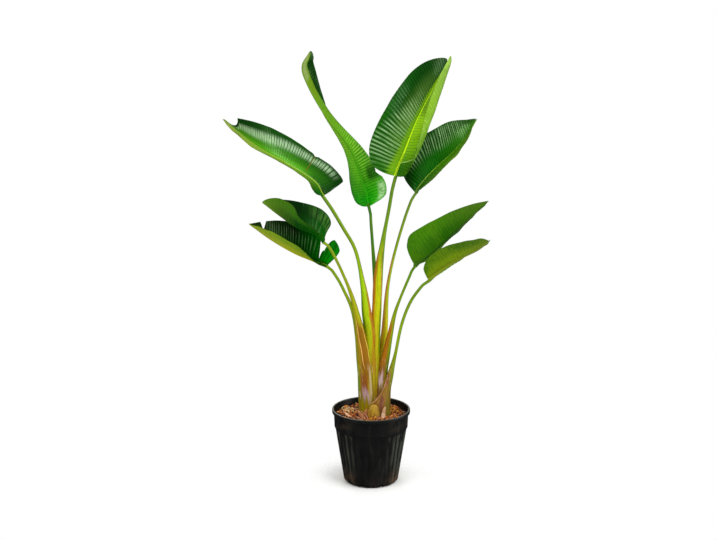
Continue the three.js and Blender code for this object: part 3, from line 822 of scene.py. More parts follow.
def on_half(tree, on, side):
    """1 on the named half of a blade, or everywhere for both."""
    if side == "both":
        return 1.0
    return rise(tree, on.distance, 0.0, (-0.5 if side == "left" else 0.5) * MM)


def slanted(tree, along, start, end):
    """A value that goes from start to end as along goes from 0 to 1."""
    return calc(tree, "ADD", start, times(tree, along, end - start))


def vein_noise(tree, on, stretch, scale):
    """Noise that changes from vein to vein and more slowly along each of them."""
    outward = times(tree, on.share, stretch)
    where = add(tree, "ShaderNodeCombineXYZ", {0: on.vein, 1: outward}).outputs[0]
    return noise(tree, where, scale, 3.0)


def fine_veins(tree, on, count):
    """The fine veins between two side veins, as a wave between 0 and 0.5."""
    return calc(tree, "PINGPONG", times(tree, on.vein, float(count)), 0.5)


def hazy(tree, haze, least, most):
    """A roughness that follows a haze, from the least to the most."""
    return add(tree, "ShaderNodeMapRange", {0: haze, 1: 0.3, 2: 0.7, 3: least, 4: most}).outputs[0]


print("a blade's paint reads three numbers from the attribute vein and one from place")

# %% [markdown]
# Marks on the upper face
#
# Each mark is a coat over the paint, held to its place by the stored numbers.
# The painted sheen is a pale coat between the creases, a painted highlight that
# stands in for the gloss, and it comes and goes from vein to vein. The band is
# the fresh stripe beside the midrib, ragged where the side veins leave it.
# Single leaves have a painted fold near the base: painted shade below a line,
# with a painted highlight along its edge, or the scar of an old tear.

# %% Marks of the upper face
# Painted highlight along the edge of a painted fold.
FOLD_EDGE_HIGHLIGHT = "b4d47c"
SCAR_BROWN = "5c5a10"


# Painted highlight: pale stripes between the creases stand in for the leaf's gloss.
def painted_sheen_stripes(tree, paint, on, painted_sheen, even):
    side, code, amount, bare, first, last, lengthways = painted_sheen
    uneven = slanted(tree, rise(tree, vein_noise(tree, on, 1.0, 1.9), 0.36, 0.6), even, 1.1)
    onward = rise(tree, on.t, *lengthways)
    inner, outer = (slanted(tree, onward, start, end) for start, end in zip(first, last))
    zone = times(tree, between(tree, on.share, inner, outer, 0.12),
                 between(tree, on.t, *lengthways, 0.08), on_half(tree, on, side))
    flat = rise(tree, on.beside, bare - 0.08, bare + 0.08)
    waxy_skin_and_sheen = calc(tree, "MULTIPLY", times(tree, zone, flat), uneven, True)
    return coat(tree, paint, code, waxy_skin_and_sheen, amount)


def fresh_band(tree, paint, on, band):
    side, code, reach, start = band
    edge = times(tree, calc(tree, "SUBTRACT", 1.12, on.t), reach * MM)
    ragged = times(tree, calc(tree, "SUBTRACT", 0.25, on.beside), 0.7)
    relative = calc(tree, "ADD", calc(tree, "DIVIDE", on.away, edge), ragged)
    return coat(tree, paint, code, rise(tree, relative, 1.2, 0.6),
                rise(tree, on.t, start - 0.08, start + 0.08), on_half(tree, on, side), 0.85)


# Painted shade below a fold line near the base, with a painted highlight along its edge.
def painted_fold(tree, paint, on, fold_shade):
    code, middle, slant = fold_shade
    height = calc(tree, "SUBTRACT", on.t, times(tree, on.share, slant))
    on_right = rise(tree, on.distance, 3 * MM, 8 * MM)
    below = rise(tree, height, middle + 0.005, middle - 0.005)
    paint = coat(tree, paint, code, below, on_right, 0.6)
    line = between(tree, height, middle, middle + 0.008, 0.004)
    return coat(tree, paint, FOLD_EDGE_HIGHLIGHT, line, on_right, 0.7)


def old_scar(tree, paint, on, place):
    line = between(tree, on.t, place - 0.004, place + 0.004, 0.003)
    return coat(tree, paint, SCAR_BROWN, line, rise(tree, on.distance, 6 * MM, 20 * MM), 0.8)


marks = [painted_sheen_stripes, fresh_band, painted_fold, old_scar]
print("marks:", ", ".join(mark.__name__ for mark in marks))

# %% [markdown]
# The upper face
#
# The coats go on from the widest to the narrowest: the two halves' greens, a
# cloudy darker tone, the painted sheen, painted highlights on the crests and
# painted shade in the creases between the veins, the band, the midrib and the
# margin. A green wax mirrors light with a green tint, so the specular tint is
# green: with a plain white one the dark leaves would look dusty. The creases are
# dull, which breaks the gloss into stripes.

# %% Paint the upper face
UPPER_MARGIN = "4c5c10"
MARGIN_LINE = (0.985, 1.0)


def upper_face(name, tint):
    material, tree, shader = new_material("blade_upper_" + name)
    on = blade_reads(tree)
    cloudy = noise(tree, on.spot, 14.0, 3.0)
    paint = two_halves(tree, on, *tint["upper"])
    paint = coat(tree, paint, tint["crease"], rise(tree, cloudy, 0.5, 0.75), 0.4)
    paint = painted_sheen_stripes(tree, paint, on, tint["painted_sheen"], tint.get("even", 0.2))
    # Painted highlights on the crests of the pleats.
    crest = rise(tree, on.beside, *tint.get("crest", (0.25, 0.42)))
    paint = coat(tree, paint, tint["crest_highlight"], crest, tint["lines"])
    # Painted shade in the creases between the pleats, as dark as cut says.
    bare = tint["painted_sheen"][3]
    paint = coat(tree, paint, tint["crease"], rise(tree, on.beside, bare, 0.0), tint.get("cut", 0.8))
    paint = fresh_band(tree, paint, on, tint["band"])
    rib_edge = times(tree, calc(tree, "SUBTRACT", 1.1, on.t), tint["rib_half"] * MM)
    paint = coat(tree, paint, tint["rib"], rise(tree, calc(tree, "DIVIDE", on.away, rib_edge), 1.2, 0.7))
    paint = coat(tree, paint, UPPER_MARGIN, rise(tree, on.share, *MARGIN_LINE), 0.35)
    if "fold_shade" in tint:
        paint = painted_fold(tree, paint, on, tint["fold_shade"])
    if "scar" in tint:
        paint = old_scar(tree, paint, on, tint["scar"])
    tree.links.new(paint, shader.inputs["Base Color"])
    haze = noise(tree, on.spot, 40.0, 2.0)
    dull = times(tree, rise(tree, on.beside, 0.2, 0.02), 0.35)
    tree.links.new(calc(tree, "ADD", hazy(tree, haze, 0.2, 0.3), dull), shader.inputs["Roughness"])
    shader.inputs["Specular IOR Level"].default_value = tint.get("gloss", 0.55)
    shader.inputs["Specular Tint"].default_value = (0.62, 1.0, 0.45, 1)
    ridges = calc(tree, "ADD", times(tree, fine_veins(tree, on, 4), 0.8), times(tree, haze, 0.3))
    roughen(tree, shader, ridges, 0.25, 0.3 * MM)
    return material


print("upper faces differ by their tint; their margins are all", UPPER_MARGIN)

# %% [markdown]
# The underside
#
# The underside is brighter and yellower than the upper face, and less glossy.
# It is mottled lighter and darker along the veins, its fine veins show, and the
# keel of the midrib has colours of its own. Glints and patches are laid on
# where a leaf folds over: painted highlights where it catches the light,
# painted shade in the fold, and other colours.

# %% Paint the underside
UNDER_MARGIN = "5c5c14"
KEEL_EDGE = (4.4 * MM, 3.2 * MM)


def under_face(name, tint):
    material, tree, shader = new_material("blade_under_" + name)
    on = blade_reads(tree)
    lighter, darker = tint["mottle"]
    streaks = vein_noise(tree, on, 1.5, 2.3)
    fine = fine_veins(tree, on, 5)
    cloudy = noise(tree, on.spot, 11.0, 3.0)
    paint = two_halves(tree, on, *tint["under"])
    paint = coat(tree, paint, lighter, rise(tree, cloudy, 0.5, 0.72), 0.45)
    paint = coat(tree, paint, darker, rise(tree, on.beside, 0.14, 0.0), tint["under_lines"])
    paint = coat(tree, paint, lighter, rise(tree, streaks, 0.5, 0.72), 0.4)
    paint = coat(tree, paint, darker, rise(tree, streaks, 0.48, 0.3), 0.35)
    paint = coat(tree, paint, darker, rise(tree, fine, 0.2, 0.0), 0.22)
    # Glints: painted highlights between the veins.
    if "glints" in tint:
        side, code, amount, lengthways = tint["glints"]
        paint = coat(tree, paint, code, rise(tree, on.beside, 0.24, 0.42), on_half(tree, on, side),
                     between(tree, on.t, *lengthways, 0.08), rise(tree, streaks, 0.3, 0.55), amount)
    # Patches: painted shade in folds, painted highlights, and other colours.
    for side, code, amount, lengthways, across in tint.get("patches", []):
        paint = coat(tree, paint, code, between(tree, on.t, *lengthways, 0.02),
                     between(tree, on.share, *across, 0.12), on_half(tree, on, side),
                     rise(tree, streaks, 0.25, 0.5), amount)
    paint = blend(tree, rise(tree, on.away, *KEEL_EDGE), paint, lengthwise(tree, on.t, tint["keel"]))
    paint = coat(tree, paint, UNDER_MARGIN, rise(tree, on.share, *MARGIN_LINE), 0.35)
    tree.links.new(paint, shader.inputs["Base Color"])
    haze = noise(tree, on.spot, 60.0, 2.0)
    tree.links.new(hazy(tree, haze, 0.34, 0.46), shader.inputs["Roughness"])
    shader.inputs["Specular IOR Level"].default_value = 0.15
    shader.inputs["Specular Tint"].default_value = (0.6, 1.0, 0.25, 1)
    roughen(tree, shader, calc(tree, "ADD", fine, times(tree, haze, 0.4)), 0.3, 0.4 * MM)
    return material


print("undersides have margins of", UNDER_MARGIN, "and a keel", round(2 * KEEL_EDGE[0] / MM, 1), "mm wide")

# %% [markdown]
# Eight leaves, eight tints
#
# The leaves differ with age and light. In each row of colours the three codes
# are for the blade's base, middle and tip. A half has one row beside the
# midrib and one at the margin, and the left half comes first. The painted
# sheen is a pale coat that stands in for the gloss, a painted highlight: its
# half, its colour, how much of it there is, how wide the bare creases are,
# where it lies across the blade at its start and at its end, and where it
# starts and ends along the blade. even is how alike it is from one vein to the
# next. Then come the colour of the painted highlights on the crests between
# the creases, lines their strength and crest where they lie. crease is the
# colour of the painted shade in the creases and cut its strength. band is the
# stripe beside the midrib: its half, its colour, its reach in millimetres and
# where it starts. A painted fold near the base is painted shade below a line
# with a painted highlight along its edge, and scar is an old tear. On the
# underside, mottle is its lighter and its darker colour. glints are painted
# highlights, light lines between the veins, and patches are painted shade in
# folds, painted highlights where they shine, and other colours: half, colour,
# strength, where along the blade and, for a patch, where across it.

# %% Tints of the leaves
PLAIN_ABOVE = ("1c6c0a 1c6008 124c06", "106008 0c5006 0a4006")
PLAIN_BELOW = ("4c7c0c 508010 587c1c", "4a7c0c 4c7c10 58781c")
LEAF_TINTS = {
    "top_left": dict(
        upper=(PLAIN_ABOVE, ("0c6406 0c5404 084404", "0c6006 083c04 063404")),
        crest_highlight="1c6c0c", crease="053604", lines=0.25,
        painted_sheen=("both", "7cac5c", 0.3, 0.2, (0.2, 0.6), (0.2, 0.6), (0.1, 0.6)),
        band=("left", "5c9c10", 20, 0.0), rib="98b82e", rib_half=3,
        # Painted highlights along the veins, then patches: painted shade in a fold (024804), a painted
        # highlight (c8f0b4), and other colours.
        glints=("left", "b4e050", 0.5, (0.19, 0.38)),
        patches=[("left", "6c8c14", 0.75, (0.56, 1.1), (-0.5, 1.5)),
                 ("left", "8a9c5c", 0.8, (0.68, 1.1), (-0.5, 0.45)),
                 ("left", "024804", 0.85, (0.17, 0.24), (0.3, 1.1)),
                 ("left", "c8f0b4", 0.7, (0.04, 0.14), (0.62, 0.92)),
                 ("right", "046804", 0.5, (0.02, 0.3), (0.8, 1.1))],
        under=(("08a804 6c981c 60682c", "44b820 60881c 606c2c"),
               ("06b004 98cc28 8ca038", "0cb008 8cbc30 8ca040")),
        mottle=("4cc01c", "045c04"), under_lines=0.7, keel="18a008 64981c 6c7c38"),
    "top_right": dict(
        upper=(("449408 749c44 043403", "2c7c0c 084806 011c01"),
               ("3c8008 a8e018 5c8830", "2c6c0c 94b848 587c30")),
        crest_highlight="18680c", crease="023804", lines=0.35, gloss=0.22, cut=0.6,
        painted_sheen=("left", "b4dca0", 0.9, 0.3, (0.16, 1.1), (-0.1, 0.42), (0.08, 0.66)),
        band=("left", "80b814", 30, 0.0), rib="d4f820", rib_half=3.6, fold_shade=("0c4c06", 0.12, 0.13),
        under=(PLAIN_BELOW, ("2c6006 709818 70943c", "30700a 74a020 70903c")),
        mottle=("a4c850", "4c7c18"), under_lines=0.3, keel="6c9c28 9cbc40 9cb850"),
    "upper_left": dict(
        upper=(("085c06 709820 80983c", "0c4c08 7c981c 8c983c"),
               ("003802 347c06 408008", "012a02 0c4406 0a3804")),
        crest_highlight="0c5006", crease="012c02", lines=0.15, gloss=0.3, cut=0.3,
        painted_sheen=("right", "b0d0a4", 0.76, 0.14, (0.62, 0.88), (0.28, 0.62), (0.19, 0.95)), even=0.65,
        band=("right", "4c9808", 32, 0.34), rib="a4bc30", rib_half=2.4, scar=0.35,
        under=(("2c5c0c 688818 8a9440", "2c5c0c 74901c 8a9440"), PLAIN_BELOW),
        mottle=("9cac50", "3c5c0c"), under_lines=0.3, keel="4c6c14 88982c 8c8c44"),
    "upper_right": dict(
        upper=(("045c04 1c7c10 3c800a", "063804 104c08 204c08"),
               ("2c7808 58a008 50900c", "4c7c18 84ac30 80a02c")),
        crest_highlight="146008", crease="012402", lines=0.3, gloss=0.32, cut=0.7,
        painted_sheen=("left", "a4cc90", 0.75, 0.3, (0.5, 0.9), (0.3, 0.95), (0.2, 0.84)),
        band=("left", "3f840c", 8, 0.4), rib="a0c450", rib_half=2.0,
        under=(PLAIN_BELOW, ("4c7c14 6c8820 80982c", "4c7c14 6c8820 80982c")),
        mottle=("90a840", "3c6410"), under_lines=0.3, keel="4c7c14 8c9c38 98a040"),
    "middle_left": dict(
        upper=(("045004 043c04 043804", "0c4008 063006 0a3006"),
               ("015802 023804 043404", "0c4406 032604 082c04")),
        crest_highlight="0c4406", crease="011402", lines=0.2, gloss=0.14,
        painted_sheen=("right", "6ca048", 0.3, 0.1, (0.4, 0.9), (0.6, 1.0), (0.04, 0.3)),
        band=("right", "0c5406", 8, 0.0), rib="4c7818", rib_half=2.0,
        under=(("187c0c 024806 587c20", "107408 3c7c0c 52781c"), PLAIN_BELOW),
        mottle=("347408", "023804"), under_lines=0.2, keel="046004 0c4c08 607c24"),
    "middle_right": dict(
        upper=(PLAIN_ABOVE, PLAIN_ABOVE),
        crest_highlight="247810", crease="0c4c08", lines=0.3,
        painted_sheen=("both", "8cb474", 0.4, 0.2, (0.2, 0.7), (0.2, 0.7), (0.1, 0.8)),
        band=("both", "58900f", 22, 0.0), rib="a8c040", rib_half=3,
        under=(("386808 205c0c 507420", "40700c 386418 587424"),
               ("487c06 2c7808 4c7c12", "448404 4c9206 507020")),
        mottle=("5c9410", "245404"), under_lines=0.3, keel="3c6c0c 2c6410 446c1c"),
    "lower_left": dict(
        upper=(("0a6004 0c5804 204c08", "406410 0c4c0c 204c08"),
               ("049404 025003 3c6410", "048c08 011e02 1c3c0c")),
        crest_highlight="0c4c06", crease="011202", lines=0.3, gloss=0.14, cut=0.5, crest=(0.38, 0.5),
        painted_sheen=("right", "94b484", 0.85, 0.42, (0.2, 0.6), (0.4, 0.85), (0.25, 0.75)),
        band=("right", "0c5c06", 6, 0.0), rib="4c7818", rib_half=2.0,
        under=(("64980c a4b00c a0a830", "68980c 7ca406 94a428"), PLAIN_BELOW),
        mottle=("a4a80c", "4c7c06"), under_lines=0.35, keel="98a030 b0b020 94983c"),
    "lower_right": dict(
        upper=(PLAIN_ABOVE, PLAIN_ABOVE),
        crest_highlight="307c10", crease="14500a", lines=0.3,
        painted_sheen=("both", "8cb474", 0.4, 0.2, (0.2, 0.7), (0.2, 0.7), (0.1, 0.8)),
        band=("both", "64900f", 18, 0.0), rib="a8b840", rib_half=3,
        under=(("64a00c 60900f 788c30", "689c10 608c18 788c30"),
               ("7c9808 749208 6c8020", "4c7c06 407008 54741c")),
        mottle=("7c9c10", "345c04"), under_lines=0.35, keel="84941c 7c8c1c 74803c"),
}
print(len(LEAF_TINTS), "tints, each for an upper face and an underside")

# %% [markdown]
# Eight blades
#
# Now every leaf gets its blade. Each has a seed of its own for the wander of
# its veins, so that no two are alike, and it takes the place of the model's
# plain blade of the same name.

# %% Make the eight blades
for seed, (name, leaf) in enumerate(LEAVES.items(), start=3):
    tint = LEAF_TINTS[name]
    blade = build_blade(name, leaf, seed, [upper_face(name, tint), under_face(name, tint)])
    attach(blade, "root")
    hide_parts("leaf_" + name + "_blade")
    print(blade.name, len(blade.data.polygons), "faces")

# %% [markdown]
# Rolling a tube
#
# Stalks, sheath margins and the old stub are all tubes. A grid is rolled up
# around its route, its seam is merged, its ends are filled and its normals are
# recalculated. Beside each point the mesh keeps its place on the straightened
# tube, so that the fibres in the material run lengthways and meet without a
# seam.

# %% Roll a grid into a tube
SEAM = 0.01 * MM


def full_turn(sides, shift=0.0):
    """The angles of a number of sides round a tube."""
    return 2 * math.pi * (np.arange(sides) + shift) / sides


def soft_step(value, low, high):
    f = np.clip((value - low) / (high - low), 0, 1)
    return f * f * (3 - 2 * f)


def close_tube():
    bpy.ops.object.mode_set(mode="EDIT")
    bpy.ops.mesh.select_all(action="SELECT")
    bpy.ops.mesh.remove_doubles(threshold=SEAM)
    bpy.ops.mesh.select_all(action="SELECT")
    bpy.ops.mesh.fill_holes(sides=0)
    bpy.ops.mesh.select_all(action="SELECT")
    bpy.ops.mesh.normals_make_consistent(inside=False)
    bpy.ops.object.mode_set(mode="OBJECT")


def tube(name, rings, notes, sides=None):
    """rings is rows by sides by 3; the first side is repeated to close the roll."""
    piece = placed_grid(name, np.concatenate([rings, rings[:, :1]], axis=1))
    store(piece, "fibre", np.concatenate([notes, notes[:, :1]], axis=1))
    if sides is not None:
        store(piece, "side", np.concatenate([sides, sides[:, :1]], axis=1))
    close_tube()
    smooth(piece, 50)
    return piece


print("a tube of 8 sides has a side every", round(math.degrees(full_turn(8)[1])), "degrees")

# %% [markdown]
# The stalks
#
# A stalk is a wide sheath below, which clasps the stalks inside it, and a
# slender channelled petiole above. At each height it has a half width across
# the fan and one through the fan, and it turns slowly: below, its open side
# looks to the middle of the fan, and above, to where the blade's face looks.

# %% Frames along a stalk
FAN_MIDDLE = 15
ROUND_FROM = 0.67


def stalk_frame(leaf, share):
    """Centre, directions and half widths of the stalk; share 1 is the blade's base."""
    points, first = leaf_route(leaf)
    centre, along = along_route(points, share * first)
    half, wrap, low, high = leaf["sheath"]
    root_inward = np.array([1.0 if leaf["root"][0] < FAN_MIDDLE else -1.0, 0, 0])
    face = unit(np.array(leaf["face"], float))
    s = np.clip(share, 0, 1)[:, None]
    inward = square_to(root_inward * (1 - s) + face * s, along)
    reach = half + (leaf["petiole"] - half) * soft_step(centre[:, 2] / MM, low, high)
    depth = reach * (wrap / half + (1 - wrap / half) * np.clip(share / ROUND_FROM, 0, 1))
    return centre, along, inward, np.cross(along, inward), reach * MM, depth * MM


foot = stalk_frame(LEAVES["lower_right"], np.array([0.2]))
print("the lowest right sheath is", round(2 * foot[5][0] / MM), "mm deep near the mix")

# %% [markdown]
# From the mix to the midrib
#
# A stalk ends under its blade: it drops below the sheet just before the blade's
# base, thins out, and runs on for a little way as the midrib's keel. A shallow
# channel runs down the petiole's open side, and a slow wave keeps the tube from
# looking turned on a lathe.

# %% Build a stalk
STALK_SIDES = 30
STALK_ROW = 4.5 * MM
STALK_TRIAL_POINTS = 300
USUAL_RUN = 0.22
RUN_UNDER = {"middle_left": 0.07, "top_left": 0.12}
DROP_FROM = 0.94
DROP = 0.95
THINNING = 0.62
CHANNEL_DEPTH = 0.3
CHANNEL_WIDTH = 0.55
CHANNEL_STARTS = (0.45, 0.75)
STALK_WAVE = 0.02
FIBRE_RADIUS = 12 * MM


def build_stalk(name, leaf):
    points, first = leaf_route(leaf)
    spans = len(points) - 1
    end = 1 + RUN_UNDER.get(name, USUAL_RUN) * (spans - first) / first
    trial, _ = along_route(points, np.linspace(0, end * first, STALK_TRIAL_POINTS))
    length = walked_to(trial)[-1]
    share = np.linspace(0, end, int(length / STALK_ROW))
    centre, along, inward, across, reach, depth = stalk_frame(leaf, share)
    under = np.clip((share - DROP_FROM) / (1 - DROP_FROM), 0, 1)
    thin = 1 - THINNING * np.clip((share - 1) / (end - 1), 0, 1)
    reach, depth = reach * thin, depth * thin
    _, _, _, _, up, _ = blade_lines(leaf)
    lifted = square_to(inward * (1 - under[:, None]) + up[0] * under[:, None], along)
    centre = centre - lifted * (under * reach * DROP)[:, None]
    turn = full_turn(STALK_SIDES, 0.5)
    from_channel = np.minimum(turn, 2 * math.pi - turn)
    opening = soft_step(share, *CHANNEL_STARTS) * (1 - under)
    hollow = CHANNEL_DEPTH * opening[:, None] * np.exp(-(from_channel / CHANNEL_WIDTH) ** 2)[None]
    wave = STALK_WAVE * np.sin(3 * turn[None] + 9 * share[:, None] + leaf["root"][0])
    swell = 1 - hollow + wave
    rings = (centre[:, None]
             + across[:, None] * (depth[:, None] * np.sin(turn) * swell)[..., None]
             + inward[:, None] * (reach[:, None] * np.cos(turn) * swell)[..., None])
    notes = np.stack(np.broadcast_arrays(FIBRE_RADIUS * np.cos(turn), FIBRE_RADIUS * np.sin(turn),
                                         (share * length / end)[:, None]), axis=-1)
    sides = (rings - centre[:, None]) / reach[:, None, None]
    return tube("leaf_" + name + "_stalk_dressed", rings, notes, sides)


print("a stalk has", STALK_SIDES, "sides and a ring every", round(STALK_ROW / MM, 1), "mm")

# %% [markdown]
# The colour of a stalk
#
# The stalks are green at the blades, glowing yellow-green lower down and golden
# above the mix. Height decides this main colour, and a noise stretched along
# the stalk gives the fibres. Over it lie patches, each with its place: green
# outer edges, orange-brown inner ones where a sheath opens, a purple-brown
# stain low down and a lilac bloom on it. A patch is given by its heights and by
# how far it reaches across the stalk, from -1 at the left edge to 1 at the
# right one, and noise breaks its outline.

# %% Paint a stalk
LOWEST_STOP = 0.2
HIGHEST_STOP = 1.0
LIGHT_FIBRE = "d0cc14"
DARK_FIBRE = "4c4c06"
GREEN_EDGE = "34600a"
BROWN_BLOTCH = "6c3c1c"
DRY_SKIN = "e0d0b4"


def stalk_skin(name, stops, patches):
    material, tree, shader = new_material("stalk_" + name)
    height = add(tree, "ShaderNodeSeparateXYZ", {0: object_place(tree)}).outputs[2]
    fibre, _, _, _ = stored(tree, "fibre")
    _, side, _, _ = stored(tree, "side")
    streaks = noise(tree, stretched(tree, fibre, (1, 1, 0.035)), 420.0, 3.0)
    wobble = noise(tree, stretched(tree, fibre, (1, 1, 0.08)), 110.0, 2.0)
    wobble = calc(tree, "SUBTRACT", wobble, 0.5)
    wandering = calc(tree, "ADD", height, times(tree, wobble, 0.1))
    reach = HIGHEST_STOP - LOWEST_STOP
    scaled = calc(tree, "DIVIDE", calc(tree, "SUBTRACT", wandering, LOWEST_STOP), reach)
    paint = ramp(tree, scaled, [((z - LOWEST_STOP) / reach, code) for z, code in stops])
    paint = coat(tree, paint, LIGHT_FIBRE, rise(tree, streaks, 0.5, 0.72), 0.3)
    outer = rise(tree, calc(tree, "ABSOLUTE", side), 0.55, 0.95)
    paint = coat(tree, paint, GREEN_EDGE, outer, rise(tree, height, 0.45, 0.62), 0.75)
    bent = calc(tree, "ADD", side, times(tree, wobble, 0.5))
    for code, amount, low, high, left, right in patches:
        paint = coat(tree, paint, code, between(tree, wandering, low, high, 0.022),
                     between(tree, bent, left, right, 0.14), amount)
    paint = coat(tree, paint, DARK_FIBRE, rise(tree, streaks, 0.5, 0.3), 0.5)
    lower_part = rise(tree, height, 0.46, 0.34)
    blotch = noise(tree, stretched(tree, fibre, (1, 1, 0.4)), 60.0, 3.0)
    paint = coat(tree, paint, BROWN_BLOTCH, rise(tree, blotch, 0.56, 0.7), lower_part, 0.6)
    waxy_skin_and_sheen = noise(tree, stretched(tree, fibre, (1.3, 0.8, 0.22)), 80.0, 3.0)
    paint = coat(tree, paint, DRY_SKIN, rise(tree, waxy_skin_and_sheen, 0.58, 0.7), lower_part, 0.55)
    tree.links.new(paint, shader.inputs["Base Color"])
    tree.links.new(calc(tree, "ADD", 0.34, times(tree, waxy_skin_and_sheen, 0.24)), shader.inputs["Roughness"])
    shader.inputs["Specular IOR Level"].default_value = 0.22
    shader.inputs["Specular Tint"].default_value = (0.95, 1.0, 0.5, 1)
    roughen(tree, shader, streaks, 0.4, 0.5 * MM)
    return material


print("stalk colours lie between", LOWEST_STOP, "and", HIGHEST_STOP, "m above the floor")

# %% [markdown]
# Eight stalks, eight skins
#
# For each stalk come its colours by height in metres, and then its patches.
# A patch has its colour, its strength, its two heights and its reach across
# the stalk, from left to right.

# %% Colours of the stalks
STALK_COLOURS = {
    "top_left": (
        [(0.33, "a88c10"), (0.53, "98a008"), (0.62, "4c8c10"), (0.80, "246c0c")], []),
    "top_right": (
        [(0.30, "98780c"), (0.38, "a89c0c"), (0.50, "c4bc08"), (0.62, "c4cc06"), (0.70, "b8c408"),
         (0.80, "6c9414"), (0.94, "507c18")],
        [("bc7410", 0.95, 0.56, 0.74, -1.3, -0.45), ("cc9810", 0.7, 0.4, 0.6, -1.3, -0.3),
         ("5c8c0c", 0.75, 0.42, 1.0, 0.62, 1.3)]),
    "upper_left": (
        [(0.28, "907010"), (0.36, "a08c0c"), (0.45, "a4ac08"), (0.56, "acc806"), (0.66, "a0cc06"),
         (0.80, "789c14"), (0.92, "60881c")],
        [("5ca008", 0.8, 0.43, 0.7, -1.3, -0.6), ("b06c0c", 0.9, 0.45, 0.58, 0.45, 1.3),
         ("c87c24", 0.8, 0.57, 0.65, 0.82, 1.3), ("a8700c", 0.7, 0.36, 0.46, 0.1, 1.3)]),
    "upper_right": (
        [(0.30, "a08814"), (0.42, "b8b40c"), (0.52, "c8c014"), (0.66, "a4b80e"), (0.80, "789c1c"),
         (0.94, "648c2c")],
        [("cc8838", 0.85, 0.5, 0.72, -1.3, -0.3), ("b88018", 0.7, 0.4, 0.55, -1.3, -0.2)]),
    "middle_left": (
        [(0.28, "84680c"), (0.40, "a07c08"), (0.50, "a88c08"), (0.58, "a4a408"), (0.70, "90a40c"),
         (0.80, "7c9c1c")],
        [("8c5808", 0.9, 0.35, 0.53, -0.4, 1.3), ("8c4818", 0.9, 0.3, 0.37, -1.3, 0.2),
         ("c4a0b0", 0.8, 0.285, 0.312, -0.9, 0.4), ("d8ccb0", 0.4, 0.29, 0.38, 0.5, 0.85),
         ("988408", 0.85, 0.2, 0.274, -1.3, 1.3)]),
    "middle_right": (
        [(0.28, "7c6c10"), (0.38, "8c840c"), (0.50, "90980a"), (0.60, "7c9c0a"), (0.70, "5c9014")],
        [("a8600c", 0.92, 0.39, 0.53, -1.3, 0.15), ("8c5028", 0.85, 0.34, 0.4, -1.3, 0.3),
         ("d4bcc8", 0.8, 0.335, 0.366, -0.9, 0.1), ("74382c", 0.8, 0.25, 0.325, -1.3, 0.5),
         ("5c8808", 0.7, 0.36, 0.75, 0.5, 1.3)]),
    "lower_left": (
        [(0.25, "74740a"), (0.30, "7c600c"), (0.38, "8c7006"), (0.46, "948406"), (0.56, "8ca006"),
         (0.66, "7ca00c")],
        [("68900a", 0.8, 0.3, 0.64, -1.3, -0.6), ("985c0a", 0.92, 0.35, 0.52, 0.05, 1.3),
         ("8c4818", 0.9, 0.305, 0.37, -0.45, 1.3), ("c4a0b0", 0.8, 0.288, 0.314, -0.3, 0.9),
         ("908008", 0.85, 0.2, 0.276, -1.3, 1.0)]),
    "lower_right": (
        [(0.25, "74680c"), (0.32, "80680e"), (0.40, "849010"), (0.50, "84a80c"), (0.64, "6c9414")],
        [("a86450", 0.8, 0.26, 0.37, -1.3, 0.1), ("5c8408", 0.7, 0.33, 0.7, 0.4, 1.3),
         ("6c3c20", 0.6, 0.24, 0.31, 0.0, 1.3)]),
}
print(sum(len(patches) for _, patches in STALK_COLOURS.values()), "patches on the stalks")

# %% [markdown]
# Eight stalks
#
# The outer stalks clasp the inner ones. Each tube follows the same route as the
# model's stalk and takes its place. Where sheaths overlap low down, the outer
# one hides the inner one, as on the plant.

# %% Make the eight stalks
for name, leaf in LEAVES.items():
    stalk = build_stalk(name, leaf)
    stalk.data.materials.append(stalk_skin(name, *STALK_COLOURS[name]))
    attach(stalk, "root")
    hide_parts("leaf_" + name + "_stalk")
    print(stalk.name, len(stalk.data.polygons), "faces")

# %% [markdown]
# Sheath margins
#
# Each sheath is open towards the middle of the fan, and its two dry margins
# run down the stalk as thin lines, orange to brown. Each is a thin tapered bead
# laid on the stalk's surface, from one angle below to another above. Angles are
# counted from the side that looks to the fan's middle.

# %% Build a sheath margin
MARGIN_SIDES = 8
MARGIN_ROWS = 90
MARGIN_HALF = 1.5 * MM
MARGIN_RISE = 0.9 * MM
MARGIN_TAPERS = (0.2, 0.3)
THINNEST = 0.02


def margin_skin(name, codes):
    material, tree, shader = new_material("sheath_margin_" + name)
    fibre, _, _, _ = stored(tree, "fibre")
    dry = noise(tree, stretched(tree, fibre, (1, 1, 0.3)), 60.0, 3.0)
    paint = ramp(tree, dry, list(zip((0.3, 0.5, 0.7), codes.split())))
    tree.links.new(paint, shader.inputs["Base Color"])
    shader.inputs["Roughness"].default_value = 0.6
    roughen(tree, shader, dry, 0.4, 0.5 * MM)
    return material


